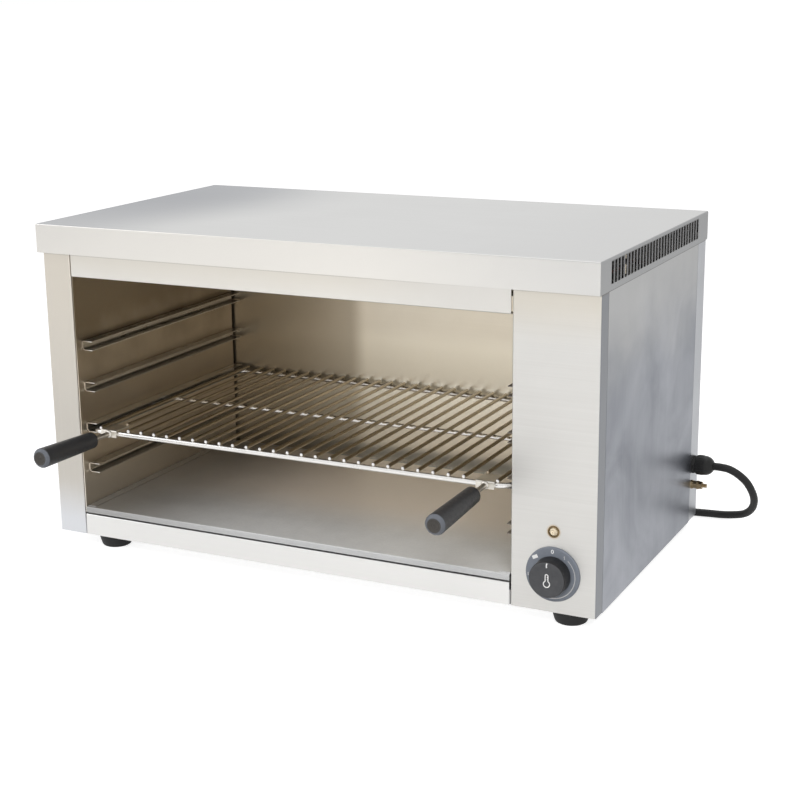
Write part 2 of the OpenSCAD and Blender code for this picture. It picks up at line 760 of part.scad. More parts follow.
// The knob: a drum with a soft rim and a slightly hollow face, on the flatted shaft
module control_knob() color("darkslategray") place()
  translate([control_cx, -dial_t - dial_gap, knob_z]) rotate([90, 0, 0]) difference() {
    rotate_extrude($fn = 96) difference() {
      union() {
        polygon([[0, 0], [knob_d / 2 - 0.8, 0], [knob_d / 2, 0.8],
          [knob_d / 2 - 0.8, knob_h - knob_soft], [knob_d / 2 - 0.8 - knob_soft, knob_h],
          [0, knob_h]]);
        translate([knob_d / 2 - 0.8 - knob_soft, knob_h - knob_soft]) circle(knob_soft);
      }
      translate([-knob_d, -1]) square([knob_d, knob_h + 2]);
      translate([0, knob_h + face_r - 1]) circle(face_r, $fn = 360);
    }
    translate([0, 0, -1]) cylinder(h = 4, d = 36);
    difference() {
      translate([0, 0, -1]) cylinder(h = knob_h - dial_t - dial_gap - 1, d = shaft_d + 0.04);
      translate([-5, shaft_d / 2 - 1.5, knob_h - 2 - flat_len - dial_t - dial_gap])
        cube([10, 5, 20]);
    }
  }

module pilot_rim() color("goldenrod") place()
  translate([control_cx, 0, lamp_z]) rotate([90, 0, 0]) rotate_extrude() difference() {
    union() {
      translate([0, -sheet]) square([lamp_d / 2 - 1.2, sheet + 0.5]);
      polygon([[0, 0], [lamp_d / 2, 0], [lamp_d / 2, 0.8], [lamp_d / 2 - 0.8, 1.8], [0, 1.8]]);
    }
    translate([-1, -sheet - 1]) square([lamp_d / 2 - 0.9, sheet + 4]);
  }

module pilot_lens() color("orange") place()
  translate([control_cx, 0, lamp_z]) rotate([90, 0, 0]) rotate_extrude() intersection() {
    translate([0, -sheet]) square([lamp_d / 2 - 1.95, sheet + 4]);
    translate([0, 2.8 - 12]) circle(12, $fn = 96);
  }

module pilot_body() color("dimgray") place() union() {
  cyl_y(sheet, sheet + 20, control_cx, lamp_z, lamp_d - 2);
  for (s = [-1, 1]) translate([control_cx + s * 3 - 0.4, sheet + 20 - e, lamp_z - 2.4])
    cube([0.8, 8, 4.8]);
}

block_x = liner_r + 22;
block_cy = gland_cy - 50;
block_top = sheet + 24;
block_hole = [for (k = [0 : 2]) block_x + 8 + 14 * k];

module terminal_block() color("ivory") place() difference() {
  translate([block_x, block_cy - 9, sheet]) cube([44, 18, block_top - sheet]);
  for (x = block_hole) translate([x, block_cy, block_top - 12]) cylinder(h = 13, d = 5);
}

tail_end = block_hole[1] + 14;

module cable_tail() color("black") place()
  cyl_x(tail_end, body_w + gland_len, gland_cy, gland_z, cord_d);

// Insulated leads: supply to block, block to thermostat and to the elements, the links
// between the elements, the way back to the thermostat, and the pilot lamp's lead
thermo_back = sheet + thermo_depth;
link_x = liner_r + 26;
last_leg = element_y[2] + element_legs;

module wiring() color("firebrick") place() {
  bent_rod([
    [tail_end, gland_cy, gland_z], [block_hole[1], gland_cy, gland_z],
    [block_hole[1], block_cy, gland_z], [block_hole[1], block_cy, block_top - 8]
  ], 4, 6);
  bent_rod([
    [block_hole[0], block_cy, block_top - 8], [block_hole[0], block_cy, knob_z - 6],
    [block_hole[0], thermo_back + 25, knob_z - 6], [control_cx - 11, thermo_back + 25, knob_z - 6],
    [control_cx - 11, thermo_back, knob_z - 6]
  ], 4, 3);
  bent_rod([
    [block_hole[2], block_cy, block_top - 8], [block_hole[2], block_cy, block_top + 20],
    [block_hole[2], last_leg, block_top + 20], [block_hole[2], last_leg, element_z],
    [link_x, last_leg, element_z]
  ], 4, 8);
  for (k = [0, 1]) bent_rod([
    [link_x, element_y[k] + element_legs, element_z],
    [link_x + 7, element_y[k] + element_legs, element_z],
    [link_x + 7, element_y[k + 1], element_z], [link_x, element_y[k + 1], element_z]
  ], 4, 3);
  bent_rod([
    [link_x, element_y[0], element_z], [control_cx - 4, element_y[0], element_z],
    [control_cx - 4, element_y[0], knob_z + 6], [control_cx - 4, thermo_back, knob_z + 6]
  ], 3, 5);
  bent_rod([
    [control_cx + 8, thermo_back, knob_z - 4], [control_cx + 8, thermo_back + 20, knob_z - 4],
    [control_cx + 8, thermo_back + 20, lamp_z], [control_cx + 3, thermo_back + 20, lamp_z],
    [control_cx + 3, sheet + 28, lamp_z]
  ], 3, 2.4);
}

// ---------- supply ----------

module gland_body() color("black") place() difference() {
  union() {
    hex_x(body_w, body_w + 5, gland_cy, gland_z, gland_d - 3);
    cyl_x(body_w - 12, body_w + 14, gland_cy, gland_z, gland_d - 8);
  }
  cyl_x(body_w - 13, body_w + 15, gland_cy, gland_z, cord_d + 0.2);
}

module gland_dome_nut() color("black") place()
  translate([body_w + 5, gland_cy, gland_z]) rotate([0, 90, 0]) difference() {
    rotate_extrude($fn = 72) union() {
      square([gland_d / 2, 12]);
      intersection() {
        translate([0, 12]) circle(gland_d / 2, $fn = 96);
        square([gland_d / 2, gland_len - 5]);
      }
    }
    translate([0, 0, -1]) cylinder(h = 11, d = gland_d - 7.9);
    translate([0, 0, -2]) cylinder(h = gland_len, d = cord_d + 0.2);
  }

module gland_locknut() color("black") place() difference() {
  hex_x(body_w - sheet - 5, body_w - sheet, gland_cy, gland_z, gland_d - 3);
  cyl_x(body_w - sheet - 6, body_w, gland_cy, gland_z, gland_d - 7.9);
}

module bonding_stud() color("goldenrod") place() union() {
  cyl_x(body_w - 14, body_w + stud_len - 0.8, stud_cy, stud_z, stud_d);
  translate([body_w + stud_len - 0.8, stud_cy, stud_z]) rotate([0, 90, 0])
    cylinder(h = 0.8, d1 = stud_d, d2 = stud_d - 1.4);
}

module ring_x(x0, x1, d) difference() {
  cyl_x(x0, x1, stud_cy, stud_z, d);
  cyl_x(x0 - 1, x1 + 1, stud_cy, stud_z, stud_d + 0.04);
}

module bonding_washers() color("darkgoldenrod") place() {
  ring_x(body_w, body_w + 1.6, nut_af * 1.25);
  ring_x(body_w + 1.6, body_w + 3.2, nut_af * 1.15);
  ring_x(body_w + 8.2, body_w + 9.5, nut_af * 1.25);
  ring_x(body_w + 9.5, body_w + 10.8, nut_af * 1.25);
}

module bonding_nuts() color("goldenrod") place()
  for (x = [-sheet - 5, 3.2, 10.8]) difference() {
    intersection() {
      hex_x(body_w + x, body_w + x + 5, stud_cy, stud_z, nut_af);
      translate([body_w + x, stud_cy, stud_z]) rotate([0, 90, 0]) rotate_extrude()
        polygon([[0, 0], [nut_af * 0.52, 0], [nut_af * 0.6, 0.8], [nut_af * 0.6, 4.2],
          [nut_af * 0.52, 5], [0, 5]]);
    }
    cyl_x(body_w + x - 1, body_w + x + 6, stud_cy, stud_z, stud_d + 0.04);
  }

// ---------- feet and fasteners ----------

foot_round = 5;

module feet() color("black") place()
  for (p = foot_at) translate([p[0], p[1], -foot_h]) rotate_extrude($fn = 72) difference() {
    union() {
      polygon([[0, 0], [foot_tip / 2 - foot_round, 0], [foot_tip / 2, foot_round],
        [foot_d / 2, foot_h - 3], [foot_d / 2, foot_h], [0, foot_h]]);
      translate([foot_tip / 2 - foot_round, foot_round]) circle(foot_round);
    }
    translate([-foot_tip, -1]) square([foot_tip, foot_h + 2]);
    translate([-1, -1]) square([7, foot_h - 5]);
    translate([-1, -1]) square([3.7, foot_h + 2]);
  }

module foot_screws() color("silver") place()
  for (p = foot_at) translate([p[0], p[1], 0]) {
    translate([0, 0, -6]) cylinder(h = 6 + sheet + 7, d = 5);
    translate([0, 0, -6 - 3]) cylinder(h = 3, d = 9.5);
    difference() {
      translate([0, 0, sheet]) cylinder(h = 4, d = 8 / cos(30), $fn = 6);
      cylinder(h = 8, d = 4.9);
    }
  }

back_screw_x = [60, body_w / 2, liner_r - 20];
back_screw_at = [for (x = back_screw_x) for (z = [pan_rim - 8, ceiling_z - 8]) [x, z]];

module back_screws() color("silver") place()
  for (p = back_screw_at) translate([p[0], body_d, p[1]]) rotate([-90, 0, 0]) difference() {
    union() {
      translate([0, 0, -8]) cylinder(h = 8, d = 4);
      intersection() {
        cylinder(h = 2.2, d = 7.6);
        translate([0, 0, 2.2 - 8]) sphere(8);
      }
    }
    for (a = [0, 90]) rotate([0, 0, a]) translate([-2.2, -0.45, 1]) cube([4.4, 0.9, 2]);
  }

// ---------- power cord ----------

module power_cord() color("black") place() swept_tube(cord_path, cord_d, 10);

module power_cord_coil() color("black") place() swept_tube(coil_path, cord_d, 6);

module coil_tie() color("dimgray") place() {
  w = coil_step + cord_d + 0.8;
  h = coil_rise + cord_d + 0.6;
  translate([coil_x - coil_r + coil_step * 0.75, coil_y - tie_w / 2,
    floor_z + cord_rest + coil_rise / 2])
    translate([0, tie_w, 0]) rotate([90, 0, 0]) linear_extrude(tie_w) difference() {
      union() {
        square([w + 2 * tie_t, h], center = true);
        square([w, h + 2 * tie_t], center = true);
        for (x = [-1, 1]) for (y = [-1, 1]) translate([x * w / 2, y * h / 2]) circle(tie_t);
      }
      square([w, h], center = true);
    }
}

module plug_body() color("black") place()
  translate([plug_x, plug_y, plug_z]) rotate([0, 90, 0]) union() {
    cylinder(h = strain_len, d1 = cord_d + 2, d2 = cord_d + 8);
    translate([0, 0, strain_len]) rotate_extrude($fn = 72)
      polygon([[0, 0], [cord_d / 2 + 4, 0], [plug_d / 2, 14], [plug_d / 2, plug_len],
        [0, plug_len]]);
  }

pin_pitch = 19;

module plug_pins() color("silver") place()
  for (s = [-1, 1]) translate([plug_x + strain_len + plug_len, plug_y + s * pin_pitch / 2, plug_z])
    rotate([0, 90, 0]) union() {
      cylinder(h = 17, d = 4.8);
      translate([0, 0, 17]) cylinder(h = 2, d1 = 4.8, d2 = 3);
    }

top_cover();
left_side_panel();
right_side_panel();
control_fascia();
back_panel();
header_panel();
base_front_panel();
base_plate();
seam_strips();
liner_left();
liner_right();
liner_back();
cavity_deck();
ceiling_reflector();
insulation();
runner(-1, 1);  // runner_left_1
runner(-1, 2);  // runner_left_2
runner(-1, 3);  // runner_left_3
runner(-1, 4);  // runner_left_4
runner(1, 1);  // runner_right_1
runner(1, 2);  // runner_right_2
runner(1, 3);  // runner_right_3
runner(1, 4);  // runner_right_4
tray_glides();
grid_frame();
grid_crossbar();
grid_wires();
handle_brackets();
handle_stems();
handle_grips();
crumb_tray();
heating_elements();
element_hangers();
thermostat_body();
thermostat_shaft();
thermostat_bulb();
bulb_clips();
control_knob();
dial_ring();
pilot_rim();
pilot_lens();
pilot_body();
terminal_block();
wiring();
cable_tail();
gland_body();
gland_dome_nut();
gland_locknut();
bonding_stud();
bonding_nuts();
bonding_washers();
feet();
foot_screws();
back_screws();
power_cord();
power_cord_coil();
coil_tie();
plug_body();
plug_pins();
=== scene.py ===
# %% [markdown]
# # A counter-top cheese melter
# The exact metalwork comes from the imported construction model. This lesson gives it its light and
# its finishes, and makes again, smooth and in full detail, the small turned, drawn and moulded
# pieces that sit on the folded sheets.

# %% Load the frame
import bpy
import bmesh
import math
from functools import partial
from mathutils import Matrix, Vector


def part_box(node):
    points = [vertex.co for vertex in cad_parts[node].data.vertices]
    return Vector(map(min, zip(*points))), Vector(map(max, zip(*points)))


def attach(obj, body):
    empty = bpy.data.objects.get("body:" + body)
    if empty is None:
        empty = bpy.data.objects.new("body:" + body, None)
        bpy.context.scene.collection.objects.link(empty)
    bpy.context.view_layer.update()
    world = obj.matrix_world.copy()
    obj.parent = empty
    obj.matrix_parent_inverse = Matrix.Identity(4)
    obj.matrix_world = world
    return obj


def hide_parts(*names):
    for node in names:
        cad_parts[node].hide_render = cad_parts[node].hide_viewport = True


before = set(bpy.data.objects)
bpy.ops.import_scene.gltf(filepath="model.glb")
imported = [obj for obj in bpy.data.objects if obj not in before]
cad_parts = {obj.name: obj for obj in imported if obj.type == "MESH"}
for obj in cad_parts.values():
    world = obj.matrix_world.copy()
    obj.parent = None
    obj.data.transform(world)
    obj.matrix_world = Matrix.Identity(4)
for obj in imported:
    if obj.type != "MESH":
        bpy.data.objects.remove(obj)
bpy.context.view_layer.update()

# %% [markdown]
# ## Where things are
# The cabinet was drawn in millimetres from its front lower left corner. One small function turns
# such a measure into the shared frame in metres, so that every piece below is placed the way a
# fitter would read it from a drawing. The corner itself, and the axes of the pieces that are made
# again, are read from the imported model, so they follow it.

# %% Drawing measures to the shared frame
MM = 0.001
LEFT, RIGHT, FRONT, BACK, UP = (Vector(v) for v in ((-1, 0, 0), (1, 0, 0), (0, -1, 0), (0, 1, 0), (0, 0, 1)))

def corners_of(node):
    return tuple(Vector(corner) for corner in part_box(node))

def middle(node):
    low, high = corners_of(node)
    return (low + high) / 2

CORNER = corners_of("control_fascia")[0]
CORNER.x = corners_of("left_side_panel")[0].x

def at(x, y, z):
    return CORNER + Vector((x, y, z)) * MM

def into_scene(thing):
    bpy.context.scene.collection.objects.link(thing)
    return thing

SIDE_X = corners_of("right_side_panel")[1].x
KNOB = Vector((middle("dial_ring").x, CORNER.y, middle("dial_ring").z))
LAMP = Vector((KNOB.x, CORNER.y, middle("pilot_rim").z))
GLAND = Vector((SIDE_X, *middle("gland_dome_nut").yz))
STUD = Vector((SIDE_X, *middle("bonding_stud").yz))
print("cabinet corner", tuple(round(v, 4) for v in CORNER), "knob axis", tuple(round(v, 4) for v in KNOB))

# %% [markdown]
# ## The camera
# A product photograph is taken with a long lens from a little above. The place, the turn and the
# lens here were solved from the straight edges of the cabinet, so a corner falls on its own pixel.
# The rows are the directions to the right, down and forward in the frame.

# %% Camera
right = Vector((0.89746406, 0.44094318, -0.01128634))
down = Vector((0.10101964, -0.23038094, -0.96784278))
ahead = Vector((-0.42936383, 0.86746397, -0.25130254))
eye = at(1391.626, -1732.495, 755.630)
SENSOR_MM, FOCAL_PX, IMAGE_PX = 36.0, 1603.171, 790
lens = bpy.data.cameras.new("camera")
lens.sensor_fit = "HORIZONTAL"
lens.sensor_width = SENSOR_MM
lens.lens = FOCAL_PX / IMAGE_PX * SENSOR_MM
lens.clip_end = 60
camera = into_scene(bpy.data.objects.new("camera", lens))
camera.matrix_world = Matrix((
    (right.x, -down.x, -ahead.x, eye.x),
    (right.y, -down.y, -ahead.y, eye.y),
    (right.z, -down.z, -ahead.z, eye.z),
    (0, 0, 0, 1)))
bpy.context.scene.camera = camera
print("lens", round(lens.lens, 2), "mm")

# %% [markdown]
# ## Node helpers
# Every finish and every pattern below is built from nodes. One helper adds a node after the last
# one and sets its sockets by name, one starts a node group with named inputs and outputs, one does
# sums and one mixes two colours, so that the recipes stay short to read.

# %% Node helpers
FLOAT, VECTOR, WHOLE = "NodeSocketFloat", "NodeSocketVector", "NodeSocketInt"
NODE_STEP = 200

def feed(tree, socket, value):
    """Link a socket to another one, or give it a plain value."""
    if isinstance(value, bpy.types.NodeSocket):
        tree.links.new(value, socket)
    else:
        socket.default_value = value

def add_node(tree, kind, props=None, **sockets):
    made = tree.nodes.new(kind)
    made.location = (NODE_STEP * len(tree.nodes), 0)
    for key, value in (props or {}).items():
        setattr(made, key, value)
    for key, value in sockets.items():
        feed(tree, made.inputs[key.replace("_", " ")], value)
    return made

def new_group(name, inputs, outputs, kind="ShaderNodeTree"):
    """A new group, the sockets of its inputs and the sockets of its outputs."""
    tree = bpy.data.node_groups.new(name, kind)
    for label, socket_kind, value in inputs:
        socket = tree.interface.new_socket(label, in_out="INPUT", socket_type=socket_kind)
        if value is not None:
            socket.default_value = value
    for label, socket_kind in outputs:
        tree.interface.new_socket(label, in_out="OUTPUT", socket_type=socket_kind)
    return tree, tree.nodes.new("NodeGroupInput").outputs, tree.nodes.new("NodeGroupOutput").inputs

def math_node(tree, operation, a, b=None, kind="Math", gives="Value", **props):
    made = add_node(tree, "ShaderNode" + kind, {"operation": operation, **props})
    for socket, value in zip(made.inputs, (a, b)):
        if value is not None:
            feed(tree, socket, value)
    return made.outputs[gives]

def mix_colour(tree, amount, first, second):
    """The mix node keeps its colour sockets in slots 6 and 7, and gives a colour in slot 2."""
    made = add_node(tree, "ShaderNodeMix", {"data_type": "RGBA"})
    for slot, value in ((0, amount), (6, first), (7, second)):
        feed(tree, made.inputs[slot], (*value, 1) if isinstance(value, tuple) else value)
    return made.outputs[2]

print("helpers ready")

# %% [markdown]
# ## Brushed grain
# Stainless sheet is ground with a belt. That leaves long hair-thin scratches one way, broader soft
# bands the same way, and faint cloudy patches from rolling and handling. The group stretches noise
# along the grain for the first two and leaves it round for the third.

# %% Group: brushed grain
BAND_SCALE = (0.2, 0.2, 0.2)
grain_group, given, result = new_group(
    "brushed grain",
    [("Stretch", VECTOR, (6, 900, 900)), ("Cloud Size", FLOAT, 9.0), ("Streaks", FLOAT, 0.5),
     ("Clouds", FLOAT, 0.5)],
    [("Tone", FLOAT), ("Scratch", FLOAT)])
node, sums = partial(add_node, grain_group), partial(math_node, grain_group)
where = node("ShaderNodeTexCoord").outputs["Object"]
stretched = sums("MULTIPLY", where, given["Stretch"], "VectorMath", "Vector")
broad = sums("MULTIPLY", stretched, BAND_SCALE, "VectorMath", "Vector")
hair = node("ShaderNodeTexNoise", Vector=stretched, Scale=1.0, Detail=5.0, Roughness=0.62).outputs[0]
band = node("ShaderNodeTexNoise", Vector=broad, Scale=1.0, Detail=2.0, Roughness=0.5).outputs[0]
cloud = node("ShaderNodeTexNoise", Vector=where, Scale=given["Cloud Size"], Detail=4.0, Roughness=0.55,
             Distortion=0.6).outputs[0]
streak = sums("ADD", sums("MULTIPLY", hair, 0.6), sums("MULTIPLY", band, 0.4))
streak_part = sums("MULTIPLY", sums("SUBTRACT", streak, 0.5), given["Streaks"])
cloud_part = sums("MULTIPLY", sums("SUBTRACT", cloud, 0.5), given["Clouds"])
feed(grain_group, result["Tone"], sums("ADD", sums("ADD", streak_part, cloud_part), 0.5, use_clamp=True))
feed(grain_group, result["Scratch"], streak)
print("grain group has", len(grain_group.nodes), "nodes")

# %% [markdown]
# ## Masks by place and by facing
# Light and shade are painted into the steel in bands and patches: a warm painted reflection along the
# top of the front, a painted shadow line under a lapped edge, and painted light and shade on faces
# turned a given way. So one group fades along a direction with a ragged border, one fades away from a
# point, and one picks the faces that are turned a given way. Each puts out a mask only. A short function
# per group names what it needs.

# %% Groups: fade along, fade from a spot, facing
FACING_FROM, FACING_FULL = 0.45, 0.8

def give_mask(tree, result, value, start, end):
    step = add_node(tree, "ShaderNodeMapRange", {"interpolation_type": "SMOOTHSTEP"}, Value=value,
                    From_Min=start, From_Max=end)
    feed(tree, result["Mask"], step.outputs[0])

fade_group, given, result = new_group(
    "fade along", [("Along", VECTOR, (0, 0, 1)), ("From", FLOAT, 0.0), ("To", FLOAT, 1.0),
                   ("Ragged", FLOAT, 0.0)], [("Mask", FLOAT)])
sums = partial(math_node, fade_group)
where = add_node(fade_group, "ShaderNodeTexCoord").outputs["Object"]
noise = add_node(fade_group, "ShaderNodeTexNoise", Vector=where, Scale=14.0, Detail=3.0).outputs[0]
shake = sums("MULTIPLY", sums("SUBTRACT", noise, 0.5), given["Ragged"])
reach = sums("DOT_PRODUCT", where, given["Along"], "VectorMath")
give_mask(fade_group, result, sums("ADD", reach, shake), given["From"], given["To"])

spot_group, given, result = new_group(
    "spot fade", [("Centre", VECTOR, (0, 0, 0)), ("Inner", FLOAT, 0.0), ("Outer", FLOAT, 0.01)],
    [("Mask", FLOAT)])
where = add_node(spot_group, "ShaderNodeTexCoord").outputs["Object"]
away = math_node(spot_group, "DISTANCE", where, given["Centre"], "VectorMath")
give_mask(spot_group, result, away, given["Outer"], given["Inner"])

facing_group, given, result = new_group("facing", [("Direction", VECTOR, (1, 0, 0))], [("Mask", FLOAT)])
normal = add_node(facing_group, "ShaderNodeTexCoord").outputs["Normal"]
turned = math_node(facing_group, "DOT_PRODUCT", normal, given["Direction"], "VectorMath")
give_mask(facing_group, result, turned, FACING_FROM, FACING_FULL)

def fade(start, end, along=UP, ragged=0.0):
    return fade_group, {"Along": along, "From": start, "To": end, "Ragged": ragged}

def spot(centre, inner_mm, outer_mm):
    return spot_group, {"Centre": centre, "Inner": inner_mm * MM, "Outer": outer_mm * MM}

def facing(direction):
    return facing_group, {"Direction": direction}

def slab(direction, start_mm, over_mm):
    """Begins at a drawing measure along a direction and is full a little further on."""
    first = CORNER.dot(direction) + start_mm * MM
    return fade(first, first + over_mm * MM, direction)

print("mask groups ready")

# %% [markdown]
# ## From a pattern to a finish
# Every finish here works alike: a group's pattern drives the colour, the gloss and the relief of
# one shader, and what doesn't vary stays a plain number on the shader's own socket. Another colour
# can be laid over a finish wherever some masks say so.

# %% Recipes: any finish, a colour over it, brushed steel
SCRATCH_DEPTH, SKIN_DEPTH = 0.0003, 0.00008

def new_material(name):
    made = bpy.data.materials.new(name)
    made.use_nodes = True
    made.node_tree.nodes.clear()
    return made

def build_finish(name, colours, group, labels, values, gloss, bump, depth, **constants):
    made = new_material(name)
    node = partial(add_node, made.node_tree)
    pattern = node("ShaderNodeGroup", {"node_tree": group}, **values).outputs
    tone, height = (pattern[label] for label in labels)
    rough = node("ShaderNodeMapRange", Value=tone, **gloss)
    relief = node("ShaderNodeBump", Strength=bump, Distance=depth, Height=height)
    colour = mix_colour(made.node_tree, tone, *colours)
    shader = node("ShaderNodeBsdfPrincipled", {"name": "shader"}, Base_Color=colour,
                  Roughness=rough.outputs[0], Normal=relief.outputs[0], **constants)
    node("ShaderNodeOutputMaterial", Surface=shader.outputs[0])
    return made

def tint_over(finish, colour, strength, *masks):
    tree = finish.node_tree
    base = tree.nodes["shader"].inputs["Base Color"]
    amount = strength
    for group, values in masks:
        mask = add_node(tree, "ShaderNodeGroup", {"node_tree": group}, **values)
        amount = math_node(tree, "MULTIPLY", mask.outputs["Mask"], amount)
    feed(tree, base, mix_colour(tree, amount, base.links[0].from_socket, colour))

def steel(name, dark, light, stretch, rough=0.34, clouds=0.5, streaks=0.5, cloud_size=9.0, bump=0.12,
          spread=0.10, metallic=1.0):
    return build_finish(
        name, (dark, light), grain_group, ("Tone", "Scratch"),
        {"Stretch": stretch, "Cloud_Size": cloud_size, "Streaks": streaks, "Clouds": clouds},
        {"To_Min": rough + spread / 2, "To_Max": rough - spread / 2}, bump, SCRATCH_DEPTH, Metallic=metallic)

# %% [markdown]
# ## The steel sheets
# Each sheet has its own grain direction, gloss and depth of cloud. The right side and the back are
# cloudier than the front and painted darker, as shade, and the tray is finely speckled and only half
# metallic.

# %% Steel finishes
ALONG_X, ALONG_Y, ALONG_Z = (6, 900, 900), (900, 6, 900), (900, 900, 6)
front_steel = steel("front_steel", (0.67, 0.66, 0.635), (0.79, 0.78, 0.76), ALONG_X, 0.44, 0.35, 0.8)
base_steel = steel("base_steel", (0.84, 0.835, 0.82), (0.94, 0.935, 0.92), ALONG_X, 0.36, 0.3, 0.45)
post_steel = steel("post_steel", (0.57, 0.54, 0.49), (0.69, 0.66, 0.61), ALONG_Z, 0.38, 0.35, 0.5)
cap_steel = steel("cap_steel", (0.62, 0.62, 0.61), (0.75, 0.75, 0.74), ALONG_X, 0.33, 0.40, 0.45, 5.0)
# Painted shade: the right side and the back are darker copies of the sheet steel.
side_steel = steel("side_steel", (0.23, 0.245, 0.28), (0.385, 0.40, 0.445), ALONG_Z, 0.34, 2.2, 0.35, 7.0)
shaded_back_steel = steel("shaded_back_steel", (0.40, 0.415, 0.44), (0.58, 0.595, 0.625), ALONG_Z, 0.32, 0.9, 0.35, 8.0)
liner_steel = steel("liner_steel", (0.86, 0.79, 0.68), (0.99, 0.93, 0.84), ALONG_Y, 0.36, 0.9, 0.4, 7.0)
rear_liner_steel = steel("rear_liner_steel", (0.80, 0.725, 0.59), (0.95, 0.875, 0.74), ALONG_X, 0.34, 0.7,
                         0.4, 6.0, metallic=0.9)
runner_steel = steel("runner_steel", (0.56, 0.53, 0.48), (0.76, 0.73, 0.68), ALONG_Y, 0.28, 0.5, 0.5)
shaded_runner = steel("shaded_runner", (0.20, 0.18, 0.16), (0.30, 0.28, 0.25), ALONG_Y, 0.34, 0.5, 0.5)
tray_steel = steel("tray_steel", (0.74, 0.75, 0.755), (0.93, 0.94, 0.945), (240, 240, 240), 0.42, 0.3, 1.2,
                   6.0, 0.25, metallic=0.45)
hidden_steel = steel("hidden_steel", (0.45, 0.45, 0.45), (0.62, 0.62, 0.62), ALONG_X, 0.42, 0.8, 0.4)
print("steel finishes", [m.name for m in bpy.data.materials if m.name.endswith("steel")])

# %% [markdown]
# Now comes the light and shade that is painted into the finishes: a warm painted reflection along the
# top of the front, a painted reflection that makes the post warm at the top and cooler at its foot, and
# a painted shadow as a dark hairline where the cap laps over the walls and a grey band under its front
# edge. The faces that the cap, the fascia and the post turn to the side take a cooler, darker steel as
# painted shade, and the walls inside the slots a darker one as painted shade too. The grey patch on the
# cap's left end and the brown left part of the cavity are painted reflections of a dark room, which the
# white set doesn't have. Each row is a finish, a colour, its strength and the masks that hold it in place.

# %% Painted light and shade
WALL_TOP, BASE = at(0, 0, 401).z, at(0, 0, 0).z
WARM_REFLECTION, COOL_REFLECTION, CAP_SHADOW, UNDER_CAP_SHADE = (0.72, 0.66, 0.55), (0.80, 0.82, 0.86), (0.06, 0.055, 0.05), (0.20, 0.19, 0.175)
SIDE_SHADE, DARK_ROOM_REFLECTION, SLOT_SHADE = (0.29, 0.30, 0.32), (0.33, 0.34, 0.365), (0.17, 0.17, 0.175)
WARM_REFLECTION_BAND = fade(WALL_TOP - 0.075, WALL_TOP, ragged=0.02)
LAP = fade(WALL_TOP - 1.6 * MM, WALL_TOP - 1.2 * MM)
UNDER_CAP_BAND = fade(WALL_TOP - 4 * MM, WALL_TOP - 0.5 * MM)
SLOT_BAND = [slab(UP, 408, 2), slab(-UP, -437, 2), slab(BACK, 26.5, 1.5), slab(FRONT, -393.5, 1.5)]
